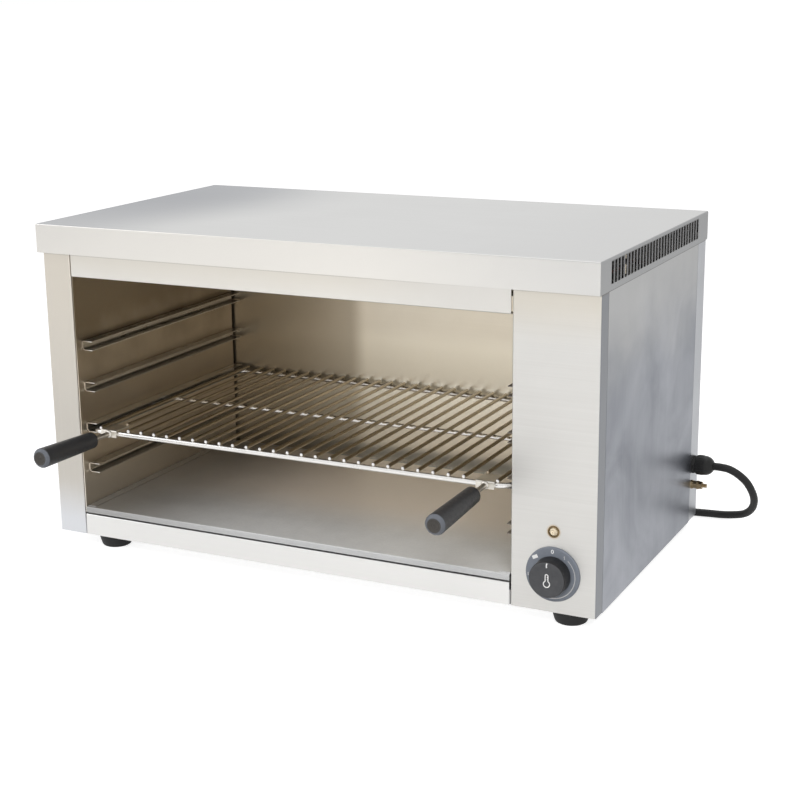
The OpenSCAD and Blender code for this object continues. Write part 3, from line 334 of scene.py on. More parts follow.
LIGHT_AND_SHADE_TINTS = [
    # Painted reflection: a warm straw tone along the top of the fascia and the header, fading out 75 mm below
    # the cap.
    (front_steel, WARM_REFLECTION, 0.55, WARM_REFLECTION_BAND), (base_steel, WARM_REFLECTION, 0.55, WARM_REFLECTION_BAND),
    (front_steel, (0.62, 0.46, 0.26), 0.6, spot(LAMP, 7, 10.5)),
    # Painted reflection on the post: warm towards the top, cooler at its foot.
    (post_steel, (0.755, 0.705, 0.625), 1.0, fade(BASE + 0.12, WALL_TOP)),
    (post_steel, COOL_REFLECTION, 0.9, fade(BASE + 0.085, BASE + 0.01, ragged=0.02)),
    # Painted light: the right side turns lighter towards its top.
    (side_steel, (0.52, 0.52, 0.515), 0.9, fade(BASE + 0.24, WALL_TOP, ragged=0.10)),
    # Painted light: the cap's front face is lighter than its top.
    (cap_steel, (0.87, 0.845, 0.80), 1.0, facing(FRONT)),
    # Painted shade: the cap darkens towards its right end.
    (cap_steel, (0.62, 0.62, 0.615), 0.75, fade(0.02, 0.42, RIGHT)),
    # Painted reflection of a dark room: a grey patch over the cap's left end.
    (cap_steel, DARK_ROOM_REFLECTION, 0.9, spot(at(-40, 300, 440), 50, 360)),
    # Painted shade: the faces that the cap and the fascia turn to the right, and the post's face turned to
    # the left, are darker.
    (cap_steel, (0.38, 0.385, 0.39), 1.0, facing(RIGHT)),
    (front_steel, SIDE_SHADE, 1.0, facing(RIGHT)),
    (post_steel, (0.48, 0.49, 0.51), 1.0, facing(LEFT)),
    # Painted shadow: a dark hairline on the side and back walls just under the cap's lapped edge, and a grey
    # band under the cap's front edge on the fascia, header and post.
    (side_steel, CAP_SHADOW, 0.85, LAP), (shaded_back_steel, CAP_SHADOW, 0.85, LAP), (front_steel, UNDER_CAP_SHADE, 0.8, UNDER_CAP_BAND),
    (base_steel, UNDER_CAP_SHADE, 0.8, UNDER_CAP_BAND), (post_steel, UNDER_CAP_SHADE, 0.8, UNDER_CAP_BAND),
    # Painted shade: the header darkens towards its right end.
    (base_steel, (0.73, 0.715, 0.685), 0.9, fade(0.0, 0.25, RIGHT), fade(BASE + 0.30, BASE + 0.32)),
    # Painted reflection of a dark room on the cap's top, in a band along its left end.
    (cap_steel, DARK_ROOM_REFLECTION, 0.6, facing(UP), slab(LEFT, -230, 190)),
    # Painted shade: the walls inside the cap's slots are darker.
    (cap_steel, SLOT_SHADE, 1.0, facing(LEFT), *SLOT_BAND),
    (cap_steel, SLOT_SHADE, 1.0, facing(RIGHT), *SLOT_BAND),
    # Painted reflection: the tray is warmer towards the back.
    (tray_steel, (0.95, 0.865, 0.77), 1.0, slab(BACK, 60, 140)),
    # Painted reflection: the tray turns dark brown towards the left wall.
    (tray_steel, (0.17, 0.15, 0.125), 0.85, fade(0.08, 0.36, LEFT, 0.05)),
    # Painted shade: the tray's front lip is darker.
    (tray_steel, (0.42, 0.425, 0.43), 0.75, facing(FRONT)),
    # Painted shade: the side liners darken above about 75 mm over the base and turn dark brown higher up.
    (liner_steel, (0.68, 0.59, 0.47), 0.75, fade(BASE + 0.075, BASE + 0.115, ragged=0.02)),
    (liner_steel, (0.22, 0.175, 0.12), 0.85, fade(BASE + 0.20, BASE + 0.32, ragged=0.08)),
    # Painted shade: the back liner and the ceiling reflector darken upwards.
    (rear_liner_steel, (0.44, 0.37, 0.28), 0.4, fade(BASE + 0.22, WALL_TOP, ragged=0.12)),
    # Painted light: the back liner is bright and warm below about 215 mm over the base.
    (rear_liner_steel, (1.0, 0.93, 0.78), 1.0, fade(BASE + 0.25, BASE + 0.215)),
    # Painted reflection: the back liner turns brown towards the left.
    (rear_liner_steel, (0.28, 0.22, 0.15), 0.8, fade(0.13, 0.33, LEFT, 0.03)),
    (rear_liner_steel, (0.36, 0.30, 0.215), 0.62, fade(0.127, 0.160, LEFT)),
]
# Each row lays a colour over a finish; nearly all of them are painted light, shade or reflections.
for mark in LIGHT_AND_SHADE_TINTS:
    tint_over(*mark)
print(len(LIGHT_AND_SHADE_TINTS), "tints of painted light and shade laid")

# %% [markdown]
# ## Plated wire and turned brass
# Drawn wire is bright and a little uneven round its girth, and near the heat it takes a straw tint.
# Brass is warmer and keeps dull patches in its corners. Both are metals with a small cloudy change
# of colour, so one recipe with two colours will do. The wires' front tips carry a painted highlight.

# %% Recipe: bright metal
def bright_metal(name, dark, light, rough, cloud_size=60.0):
    return steel(name, dark, light, (60, 60, 60), rough, 1.2, 0.6, cloud_size, 0.05, 0.08)

wire_metal = steel("wire_metal", (0.46, 0.385, 0.275), (0.66, 0.565, 0.43), (40, 4, 40), 0.34, 0.5, 0.6, 12,
                   0.02)
# Painted highlight: the wires' front tips are nearly white.
tint_over(wire_metal, (0.95, 0.94, 0.92), 1.0, slab(FRONT, -7.5, 1.5))
bar_metal = bright_metal("bar_metal", (0.82, 0.80, 0.77), (0.95, 0.94, 0.92), 0.26, 40)
stem_metal = bright_metal("stem_metal", (0.60, 0.56, 0.50), (0.76, 0.72, 0.66), 0.40)
bracket_metal = bright_metal("bracket_metal", (0.68, 0.64, 0.57), (0.86, 0.83, 0.77), 0.34)
brass = bright_metal("brass", (0.28, 0.20, 0.11), (0.58, 0.47, 0.30), 0.34, 180)
dark_gold = bright_metal("dark_gold", (0.12, 0.08, 0.04), (0.34, 0.25, 0.13), 0.35, 240)
copper = bright_metal("copper", (0.55, 0.26, 0.14), (0.80, 0.45, 0.28), 0.35)
element_metal = bright_metal("element_metal", (0.05, 0.045, 0.04), (0.13, 0.12, 0.10), 0.6, 40)
plain_zinc = bright_metal("plain_zinc", (0.50, 0.50, 0.49), (0.70, 0.70, 0.68), 0.36)
print("metals ready")

# %% [markdown]
# ## Moulded plastic
# A spark-eroded mould leaves a fine matt skin, with a slight polish where hands touch it. A small
# noise drives both the relief and the gloss. The relief is only felt close up, but it breaks the
# highlight the way real mouldings do.

# %% Group and recipe: moulded skin
WEAR_FROM, WEAR_TO = 0.3, 0.7
skin_group, given, result = new_group(
    "moulded skin", [("Grain", FLOAT, 2500.0), ("Wear Size", FLOAT, 60.0)],
    [("Relief", FLOAT), ("Wear", FLOAT)])
where = add_node(skin_group, "ShaderNodeTexCoord").outputs["Object"]
fine = add_node(skin_group, "ShaderNodeTexNoise", Vector=where, Scale=given["Grain"], Detail=2.0)
wear = add_node(skin_group, "ShaderNodeTexNoise", Vector=where, Scale=given["Wear Size"], Detail=5.0,
                Roughness=0.6)
feed(skin_group, result["Relief"], fine.outputs[0])
feed(skin_group, result["Wear"], wear.outputs[0])

def moulded(name, dark, light, rough=0.45, spread=0.18, grain=2500.0, bump=0.25, wear_size=60.0, shine=0.5):
    gloss = {"From_Min": WEAR_FROM, "From_Max": WEAR_TO,
             "To_Min": rough - spread / 2, "To_Max": rough + spread / 2}
    return build_finish(
        name, (dark, light), skin_group, ("Wear", "Relief"), {"Grain": grain, "Wear_Size": wear_size},
        gloss, bump, SKIN_DEPTH, Specular_IOR_Level=shine)

# %% [markdown]
# ## The plastics
# Grips, feet, gland and cord are nearly black and differ in gloss. The knob's wall is painted darker
# than its face, as shade, and the grips turn greyer just before their free ends, a painted highlight on
# their chamfer.

# %% Plastics
grip_black = moulded("grip_black", (0.014, 0.014, 0.015), (0.040, 0.040, 0.043), 0.42, 0.3, 1400, 0.7, 220)
GRIP_END = -corners_of("handle_grips")[0].y
# Painted highlight: a bluish grey band on the grip's chamfer near its free end.
tint_over(grip_black, (0.11, 0.12, 0.14), 0.9, fade(GRIP_END - 5.0 * MM, GRIP_END - 3.8 * MM, FRONT))
foot_black = moulded("foot_black", (0.010, 0.010, 0.010), (0.024, 0.024, 0.025), 0.55, shine=0.3)
gland_black = moulded("gland_black", (0.006, 0.006, 0.006), (0.018, 0.018, 0.018), 0.34, shine=0.3)
cord_black = moulded("cord_black", (0.008, 0.008, 0.008), (0.020, 0.020, 0.020), 0.48, 0.1, 900, shine=0.3)
knob_grey = moulded("knob_grey", (0.041, 0.044, 0.050), (0.083, 0.083, 0.087), 0.42, 0.12, 1800,
                    wear_size=140, shine=0.3)
# Painted shade: the knob's wall, turned to the sides, is darkened.
for direction in (RIGHT, LEFT, UP, -UP):
    tint_over(knob_grey, (0.008, 0.008, 0.009), 0.9, facing(direction))
dial_grey = moulded("dial_grey", (0.12, 0.135, 0.165), (0.19, 0.21, 0.245), 0.42, 0.12, 1800)
print_white = moulded("print_white", (0.70, 0.70, 0.70), (0.82, 0.82, 0.82), 0.5)
print_faint = moulded("print_faint", (0.42, 0.42, 0.42), (0.62, 0.62, 0.62), 0.5)
lens_amber = moulded("lens_amber", (0.62, 0.50, 0.34), (0.86, 0.78, 0.62), 0.16, 0.05, 900, 0.1, 400)
housing_grey = moulded("housing_grey", (0.10, 0.10, 0.10), (0.16, 0.16, 0.16), 0.5)
block_cream = moulded("block_cream", (0.62, 0.58, 0.46), (0.74, 0.70, 0.58), 0.5)
lead_red = moulded("lead_red", (0.30, 0.05, 0.03), (0.42, 0.09, 0.05), 0.5)
wool_tan = moulded("wool_tan", (0.42, 0.36, 0.24), (0.62, 0.55, 0.40), 0.95, 0.05, 700, 1.0, 120)
print("plastics ready")

# %% [markdown]
# ## The construction model's own pieces
# Folded sheets keep their exact shape and only take a finish. A table says which pieces take which
# finish, and a missing name stops the script, so no piece can be forgotten.

# %% Finishes of the construction pieces
FINISHES = [
    (cap_steel, "top_cover"), (post_steel, "left_side_panel"), (side_steel, "right_side_panel"),
    (front_steel, "control_fascia"), (shaded_back_steel, "back_panel"), (tray_steel, "crumb_tray"),
    (base_steel, "header_panel base_front_panel"), (liner_steel, "liner_left liner_right"),
    (hidden_steel, "base_plate seam_strips cavity_deck tray_glides element_hangers bulb_clips"),
    (rear_liner_steel, "liner_back ceiling_reflector"), (wool_tan, "insulation"),
    (runner_steel, "runner_left_1 runner_left_2 runner_left_3 runner_left_4"),
    (shaded_runner, "runner_right_1 runner_right_2 runner_right_3 runner_right_4"),
    (bar_metal, "grid_frame grid_crossbar"), (wire_metal, "grid_wires"), (stem_metal, "handle_stems"),
    (bracket_metal, "handle_brackets"), (grip_black, "handle_grips coil_tie"),
    (element_metal, "heating_elements"), (housing_grey, "thermostat_body pilot_body"),
    (plain_zinc, "thermostat_shaft foot_screws back_screws"), (copper, "thermostat_bulb"),
    (knob_grey, "control_knob"), (dial_grey, "dial_ring"), (dark_gold, "pilot_rim"),
    (lens_amber, "pilot_lens"), (block_cream, "terminal_block"), (lead_red, "wiring"),
    (gland_black, "gland_body gland_dome_nut gland_locknut"), (foot_black, "feet"),
    (brass, "bonding_stud bonding_nuts bonding_washers plug_pins"),
    (cord_black, "cable_tail power_cord power_cord_coil plug_body"),
]
finish_of = {label: finish for finish, labels in FINISHES for label in labels.split()}
for label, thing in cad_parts.items():
    thing.data.materials.clear()
    thing.data.materials.append(finish_of[label])
print(len(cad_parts), "construction pieces have a finish")

# %% [markdown]
# ## Floor, lamps and backdrop
# A product shot on white: a large pale floor, a soft key lamp high at the front right, a weak one
# at the left, one overhead, and a low one in front that shines into the opening. The two lamps in
# front light the plastics and the tray but aren't mirrored, so no sheet bursts into white from any
# side. The floor and the world are white for the camera and in the reflections of the metal, and
# the floor still takes the soft shadow under the feet.

# %% Floor
FLOOR_HALF, FLOOR_GREY, FLOOR_DIRECT, FLOOR_MIRRORED = 80, 0.55, 0.80, 0.44

def white_seen(tree, direct_part, mirrored_part):
    """How bright the white shows to the camera and in a mirror. It lights nothing else."""
    path = add_node(tree, "ShaderNodeLightPath").outputs
    sums = partial(math_node, tree)
    direct = sums("MAXIMUM", path["Is Camera Ray"], path["Is Transmission Ray"])
    mirrored = sums("MULTIPLY", path["Is Glossy Ray"], mirrored_part)
    return sums("ADD", sums("MULTIPLY", direct, direct_part), mirrored)

floor_mesh = bpy.data.meshes.new("floor")
floor_mesh.from_pydata([(x * FLOOR_HALF, y * FLOOR_HALF, 0) for x, y in ((-1, -1), (1, -1), (1, 1), (-1, 1))],
                       [], [(0, 1, 2, 3)])
floor = into_scene(bpy.data.objects.new("floor", floor_mesh))
floor_look = new_material("floor_white")
tree = floor_look.node_tree
matt = add_node(tree, "ShaderNodeBsdfDiffuse", Color=(FLOOR_GREY, FLOOR_GREY, FLOOR_GREY, 1))
glow = add_node(tree, "ShaderNodeEmission", Strength=white_seen(tree, FLOOR_DIRECT, FLOOR_MIRRORED))
both = add_node(tree, "ShaderNodeAddShader")
for socket, part in zip(both.inputs, (matt, glow)):
    feed(tree, socket, part.outputs[0])
add_node(tree, "ShaderNodeOutputMaterial", Surface=both.outputs[0])
floor_mesh.materials.append(floor_look)
print("floor laid")

# %% [markdown]
# ## The lamps
# Each lamp is a rectangle of light turned towards a target. The watts are low enough for a colour
# to show about as it is written.

# %% Lamps
def soft_lamp(name, place, target, width, height, watts, colour=(1, 1, 1), mirrored=True):
    data = bpy.data.lights.new(name, "AREA")
    data.shape = "RECTANGLE"
    data.size, data.size_y = width, height
    data.energy = watts
    data.color = colour
    lamp = into_scene(bpy.data.objects.new(name, data))
    lamp.location = place
    lamp.visible_glossy = mirrored
    lamp.rotation_euler = (Vector(target) - Vector(place)).to_track_quat("-Z", "Y").to_euler()

soft_lamp("lamp_key", (1.6, -2.2, 2.9), (0, 0, 0.2), 1.8, 1.8, 75, (1.0, 0.99, 0.97), mirrored=False)
soft_lamp("lamp_left", (-2.8, -1.2, 2.2), (0, 0, 0.2), 1.6, 1.6, 15, (0.95, 0.97, 1.0))
soft_lamp("lamp_above", (0.2, 0.6, 3.0), (0, 0, 0.2), 2.6, 2.6, 16)
soft_lamp("lamp_front", (0.0, -3.2, 0.9), (0, 0.1, 0.1), 1.6, 1.0, 34, (1.0, 0.98, 0.95), mirrored=False)
print("lamps hung")

# %% [markdown]
# ## The world
# The world lights the object like a dim white room, and shows as full white to the camera.

# %% World
ROOM_LIGHT, WORLD_MIRRORED = 0.42, 0.80
world = bpy.data.worlds.new("studio")
bpy.context.scene.world = world
world.use_nodes = True
tree = world.node_tree
tree.nodes.clear()
pick = add_node(tree, "ShaderNodeMixShader")
room, white = (add_node(tree, "ShaderNodeBackground", Color=(1, 1, 1, 1), Strength=strength)
               for strength in (ROOM_LIGHT, 1.0))
shows_white = white_seen(tree, 1.0, WORLD_MIRRORED)
for socket, value in zip(pick.inputs, (shows_white, room.outputs[0], white.outputs[0])):
    feed(tree, socket, value)
add_node(tree, "ShaderNodeOutputWorld", Surface=pick.outputs[0])
bpy.context.scene.view_settings.view_transform = "Standard"
print("world set")

# %% [markdown]
# ## The power cord
# A rubber lead leaves the gland to the right, bends down under its own weight, and lies on the
# counter. The rest is wound into a neat coil behind the cabinet. The route repeats the
# construction model's points, and a smooth curve is drawn through them.

# %% Route of the cord
CORD_D = 11.0
floor_z = -18.0
rest_z = CORD_D / 2 + 1.7
cord_x, gland_y = 831.0, 416.0
steps = [(0, 0, 99), (11, 0, 99), (23, 1, 97), (35, 4, 90), (45, 10, 79), (51, 18, 65), (53, 28, 50),
         (50, 39, 36), (43, 49, 24), (32, 57, 15), (17, 62, 10), (0, 63, 7.5), (-22, 61, 7.2),
         (-50, 57, 7.2), (-80, 53, 7.2), (-110, 50, 7.2), (-140, 48, 7.2), (-167, 47, 7.2),
         (-178, 47, 7.2)]
coil_r, coil_turns, coil_step, coil_rise = 72.0, 3.5, 11.6, 11.8
coil_x, coil_y = cord_x - 189, gland_y + 47 + coil_r

def coil_at(s):
    r = coil_r - coil_step * min(s, coil_turns - s)
    a = math.radians(-90 - 360 * s)
    up = min(1, max(0, (s - coil_turns / 2 + 0.25) * 2))
    return (coil_x + r * math.cos(a), coil_y + r * math.sin(a), floor_z + rest_z + coil_rise * up)

def smooth_through(points, parts):
    """A Catmull-Rom curve through the points."""
    path = [Vector(p) for p in points]
    path = [2 * path[0] - path[1]] + path + [2 * path[-1] - path[-2]]
    made = []
    for i in range(1, len(path) - 2):
        a, b, c, d = path[i - 1:i + 3]
        for k in range(parts):
            t = k / parts
            made.append(0.5 * (2 * b + (c - a) * t + (2 * a - 5 * b + 4 * c - d) * t * t
                               + (3 * b - a - 3 * c + d) * t ** 3))
    return made + [path[-2]]

loose = smooth_through([(cord_x + x, gland_y + y, floor_z + z) for x, y, z in steps], 4)
wound = [Vector(coil_at(k / 48)) for k in range(1, int(coil_turns * 48) + 1)]
ending = Vector((coil_x + CORD_D, coil_y + coil_r, floor_z + rest_z + coil_rise))
route = [at(*p) for p in loose + wound + [ending]]

# %% [markdown]
# ## The cord as a tube
# A curve with a round bevel follows the route. It rides on the cabinet, and it stands for the cord
# and the coil of the construction model.

# %% Draw the cord
line = bpy.data.curves.new("power_lead", "CURVE")
line.dimensions = "3D"
line.bevel_depth = CORD_D / 2 * MM
line.bevel_resolution = 5
line.use_fill_caps = True
spline = line.splines.new("POLY")
spline.points.add(len(route) - 1)
for point, place in zip(spline.points, route):
    point.co = (*place, 1)
spline.use_smooth = True
line.materials.append(cord_black)
cord = into_scene(bpy.data.objects.new("power_lead", line))
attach(cord, "cabinet")
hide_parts("power_cord", "power_cord_coil")
print("cord drawn")

# %% [markdown]
# ## Turning, drawing and printing
# Most small pieces here are turned, drawn as rod, or printed. Three helpers build such shapes as
# plain mesh: one spins an outline round an axis and softens its corners, one sweeps a rod along a
# bent line, and one lays a thin printed stroke on a surface. The last ones close a mesh, turn its
# faces outwards and hand it to a body.

# %% Helpers for shapes
def rounded(outline, steps=5):
    """Outline points are (radius, along, rounding). A corner with a rounding becomes a curve."""
    made = []
    for i, (x, y, r) in enumerate(outline):
        here = Vector((x, y))
        if r == 0 or i in (0, len(outline) - 1):
            made.append(here)
            continue
        back, forth = (Vector(outline[j][:2]) - here for j in (i - 1, i + 1))
        start = here + back.normalized() * min(r, back.length / 2)
        end = here + forth.normalized() * min(r, forth.length / 2)
        for k in range(steps + 1):
            t = k / steps
            made.append((1 - t) ** 2 * start + 2 * t * (1 - t) * here + t * t * end)
    return made

def join_rings(shape, low, high):
    count = max(len(low), len(high))
    for k in range(count):
        m = (k + 1) % count
        corners = [low[k % len(low)], low[m % len(low)], high[m % len(high)], high[k % len(high)]]
        corners = list(dict.fromkeys(corners))
        if len(corners) > 2:
            shape.faces.new(corners)

def turn(shape, outline, base, axis, sides=64, steps=5):
    """Spin an outline in millimetres round an axis that starts at base."""
    axis = Vector(axis).normalized()
    one = axis.orthogonal().normalized()
    two = axis.cross(one)
    rings = []
    for radius, along in rounded(outline, steps):
        centre = base + axis * along * MM
        if radius < 1e-6:
            rings.append([shape.verts.new(centre)])
            continue
        angles = [2 * math.pi * k / sides for k in range(sides)]
        rings.append([shape.verts.new(centre + (one * math.cos(a) + two * math.sin(a)) * radius * MM)
                      for a in angles])
    for low, high in zip(rings, rings[1:]):
        join_rings(shape, low, high)

def bend_round(corners, radius, steps=8, closed=False):
    """A line of square corners, each turned into an arc of the given middle radius, in metres."""
    made = []
    for i, here in enumerate(corners):
        if not closed and i in (0, len(corners) - 1):
            made.append(here)
            continue
        before = (here - corners[i - 1]).normalized()
        after = (corners[(i + 1) % len(corners)] - here).normalized()
        centre = here + (after - before) * radius
        for k in range(steps + 1):
            a = math.pi / 2 * k / steps
            made.append(centre - after * radius * math.cos(a) + before * radius * math.sin(a))
    return made

def draw_rod(shape, path, diameter, sides=20, closed=False):
    """Sweep a round rod along a line of points, in metres, and cap its ends."""
    rings, up, count = [], None, len(path)
    for i, place in enumerate(path):
        after = path[(i + 1) % count if closed else min(i + 1, count - 1)]
        along = (after - path[i - 1 if closed else max(i - 1, 0)]).normalized()
        up = along.orthogonal() if up is None else up - along * up.dot(along)
        up.normalize()
        over = along.cross(up)
        angles = [2 * math.pi * k / sides for k in range(sides)]
        rings.append([shape.verts.new(place + (up * math.cos(a) + over * math.sin(a)) * diameter / 2)
                      for a in angles])
    for low, high in zip(rings, rings[1:] + (rings[:1] if closed else [])):
        join_rings(shape, low, high)
    if not closed:
        shape.faces.new(rings[0][::-1])
        shape.faces.new(rings[-1])

def make_piece(name, shape, finish, body, *stands_for, sharp=32):
    """Close a mesh, turn its faces outwards, and let it ride on a body in place of some nodes."""
    bmesh.ops.remove_doubles(shape, verts=shape.verts, dist=1e-6)
    bmesh.ops.recalc_face_normals(shape, faces=shape.faces)
    mesh = bpy.data.meshes.new(name)
    shape.to_mesh(mesh)
    shape.free()
    return finish_piece(name, mesh, finish, body, *stands_for, sharp=sharp)

def turned_piece(name, outline, base, axis, finish, *stands_for, body="cabinet", sides=64, steps=5, sharp=32):
    shape = bmesh.new()
    turn(shape, outline, base, axis, sides, steps)
    return make_piece(name, shape, finish, body, *stands_for, sharp=sharp)

def finish_piece(name, mesh, finish, body, *stands_for, sharp=32):
    mesh.shade_smooth()
    mesh.set_sharp_from_angle(angle=math.radians(sharp))
    mesh.materials.clear()
    mesh.materials.append(finish)
    piece = into_scene(bpy.data.objects.new(name, mesh))
    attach(piece, body)
    if stands_for:
        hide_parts(*stands_for)
    print(name, "has", len(mesh.polygons), "faces on", body)
    return piece

# %% [markdown]
# ## The grid's frame and crossbar
# The frame is one 7 mm rod, bent round at four corners and butt-welded, with a thinner bar under
# the wires half way back. A swept rod with 24 sides and eight steps in each corner gives the long
# unbroken highlight that plated rod shows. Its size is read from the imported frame.

# %% Frame rod and crossbar
frame_low, frame_high = corners_of("grid_frame")
ROD = frame_high.z - frame_low.z
CORNER_R = 18 * MM
inset = Vector((ROD / 2, ROD / 2, ROD / 2))
near_left, far_right = frame_low + inset, frame_high - inset
rod_line = [Vector((x, y, near_left.z)) for x, y in (
    (near_left.x, near_left.y), (far_right.x, near_left.y), (far_right.x, far_right.y),
    (near_left.x, far_right.y))]
shape = bmesh.new()
draw_rod(shape, bend_round(rod_line, CORNER_R, closed=True), ROD, 24, closed=True)
make_piece("frame_rod", shape, bar_metal, "grid", "grid_frame")

bar_low, bar_high = corners_of("grid_crossbar")
bar_ends = [Vector((x, *middle("grid_crossbar").yz)) for x in (bar_low.x, bar_high.x)]
shape = bmesh.new()
draw_rod(shape, bar_ends, bar_high.z - bar_low.z, 20)
make_piece("crossbar_rod", shape, bar_metal, "grid", "grid_crossbar")

# %% [markdown]
# ## The grid's wires
# Twenty-nine 5 mm wires with rounded tips lie side by side on the frame. That is a row of copies,
# so Geometry Nodes make it: one wire is a line whose points crowd towards its tips, with a radius
# that closes there like a ball, and it is set on every point of a row. The outer wires stand clear
# of the handle brackets, and the wire next to each ends behind the bracket's leg.

# %% Geometry Nodes helpers
def geometry_tree(name, inputs):
    return new_group(name, inputs + [("Finish", "NodeSocketMaterial", None)],
                     [("Geometry", "NodeSocketGeometry")], "GeometryNodeTree")

def hand_over(tree, given, result, geometry):
    """Every tree ends alike: real copies, closed tips, smooth faces and the finish."""
    real = add_node(tree, "GeometryNodeRealizeInstances", Geometry=geometry)
    closed = add_node(tree, "GeometryNodeMergeByDistance", Geometry=real.outputs[0], Distance=1e-6)
    smooth = add_node(tree, "GeometryNodeSetShadeSmooth", Geometry=closed.outputs[0])
    painted = add_node(tree, "GeometryNodeSetMaterial", Geometry=smooth.outputs[0], Material=given["Finish"])
    feed(tree, result[0], painted.outputs[0])

def vector_of(tree, x=0.0, y=0.0, z=0.0):
    return add_node(tree, "ShaderNodeCombineXYZ", X=x, Y=y, Z=z).outputs[0]

def helpers_for(tree):
    return (partial(helper, tree) for helper in (add_node, math_node, vector_of))

def grow(name, tree, values, finish, body, *stands_for, sharp=32):
    """Run a tree on an empty mesh with these values and keep the result as a plain piece."""
    seed = into_scene(bpy.data.objects.new(name + "_seed", bpy.data.meshes.new(name + "_seed")))
    maker = seed.modifiers.new("maker", "NODES")
    maker.node_group = tree
    names = {item.name: item.identifier for item in tree.interface.items_tree if item.in_out == "INPUT"}
    for label, value in {**values, "Finish": finish}.items():
        maker[names[label]] = value
    grown = bpy.data.meshes.new_from_object(seed.evaluated_get(bpy.context.evaluated_depsgraph_get()))
    seed.modifiers.remove(maker)
    bpy.data.objects.remove(seed)
    grown.name = name
    return finish_piece(name, grown, finish, body, *stands_for, sharp=sharp)

# %% [markdown]
# ## A tree for the wires
# The tree is told how many wires there are, how far apart and how long. It finds the outermost wires
# and their neighbours by counting from both ends of the row.

# %% Tree: wires with round tips
TIP_RINGS, WIRE_SIDES = 6, 12
wires_tree, given, result = geometry_tree("round tipped wires", [
    ("Count", WHOLE, 29), ("Pitch", FLOAT, 0.021), ("Reach", FLOAT, 0.3), ("Diameter", FLOAT, 0.005),
    ("Front", FLOAT, 0.0), ("Short Front", FLOAT, 0.03), ("Rear", FLOAT, 0.4), ("Middle X", FLOAT, 0.0),
    ("Height", FLOAT, 0.0)])
node, sums, vector = helpers_for(wires_tree)
last = sums("SUBTRACT", given["Count"], 1)
half_row = sums("MULTIPLY", sums("MULTIPLY", last, given["Pitch"]), -0.5)
row = node("GeometryNodeMeshLine", Count=given["Count"], Start_Location=vector(half_row),
           Offset=vector(given["Pitch"]))
index = node("GeometryNodeInputIndex").outputs[0]
from_end = sums("MINIMUM", index, sums("SUBTRACT", last, index))
is_outer, is_short = sums("LESS_THAN", from_end, 0.5), sums("COMPARE", from_end, 1)
here = node("ShaderNodeSeparateXYZ", Vector=node("GeometryNodeInputPosition").outputs[0])
outwards = sums("MULTIPLY", sums("SIGN", here.outputs["X"]), given["Reach"])
placed = node("GeometryNodeSetPosition", Geometry=row.outputs[0], Selection=is_outer,
              Position=vector(outwards)).outputs[0]

def round_tipped(front, rear):
    """One wire along Y as a mesh, closed at both tips like a ball."""
    line = node("GeometryNodeCurvePrimitiveLine", Start=vector(0, front), End=vector(0, rear))
    dense = node("GeometryNodeResampleCurve", Curve=line.outputs[0], Count=2 * TIP_RINGS)
    i = node("GeometryNodeInputIndex").outputs[0]
    ring = sums("MINIMUM", i, sums("SUBTRACT", 2 * TIP_RINGS - 1, i))
    angle = sums("MULTIPLY", ring, math.pi / 2 / (TIP_RINGS - 1))
    radius = sums("MULTIPLY", given["Diameter"], 0.5)
    set_in = sums("MULTIPLY", radius, sums("SUBTRACT", 1, sums("COSINE", angle)))
    is_rear = sums("GREATER_THAN", i, TIP_RINGS - 0.5)
    near = sums("MULTIPLY", sums("SUBTRACT", 1, is_rear), sums("ADD", front, set_in))
    far = sums("MULTIPLY", is_rear, sums("SUBTRACT", rear, set_in))
    moved = node("GeometryNodeSetPosition", Geometry=dense.outputs[0],
                 Position=vector(0, sums("ADD", near, far)))
    circle = node("GeometryNodeCurvePrimitiveCircle", Resolution=WIRE_SIDES, Radius=1.0)
    return node("GeometryNodeCurveToMesh", Curve=moved.outputs[0], Profile_Curve=circle.outputs[0],
                Scale=sums("MULTIPLY", radius, sums("SINE", angle))).outputs[0]

gathered = node("GeometryNodeJoinGeometry")
for front, chosen in (("Short Front", is_short), ("Front", sums("SUBTRACT", 1, is_short))):
    copies = node("GeometryNodeInstanceOnPoints", Points=placed, Selection=chosen,
                  Instance=round_tipped(given[front], given["Rear"]))
    feed(wires_tree, gathered.inputs[0], copies.outputs[0])
lifted = node("GeometryNodeTransform", Geometry=gathered.outputs[0],
              Translation=vector(given["Middle X"], 0, given["Height"]))
hand_over(wires_tree, given, result, lifted.outputs[0])
print("wire tree has", len(wires_tree.nodes), "nodes")

# %% [markdown]
# ## The wires in place
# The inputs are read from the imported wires, frame and brackets, apart from the number of wires and
# the gap that the row keeps from the frame's bends.

# %% Draw the wires
wires_low, wires_high = corners_of("grid_wires")
WIRE = wires_high.z - wires_low.z
WIRE_COUNT, WIRE_INSET = 29, 1.9 * MM
row_length = far_right.x - near_left.x - 2 * (CORNER_R + WIRE_INSET)
bracket_low, bracket_high = corners_of("handle_brackets")
grow("grid_wires_drawn", wires_tree, {
    "Count": WIRE_COUNT, "Pitch": row_length / (WIRE_COUNT - 1),
    "Reach": (wires_high.x - wires_low.x - WIRE) / 2, "Diameter": WIRE, "Front": wires_low.y,
    "Short Front": bracket_high.y, "Rear": wires_high.y, "Middle X": (wires_low.x + wires_high.x) / 2,
    "Height": (wires_low.z + wires_high.z) / 2}, wire_metal, "grid", "grid_wires")

# %% [markdown]
# ## The handles
# Each handle is a plated rod welded to a folded bracket, with a tapered black grip pushed on. The
# left one leans up a little and the right one down. The grip has a broad soft chamfer at its free
# end and a shallow dimple with a small ejector mark, and all of it is turned from one outline.

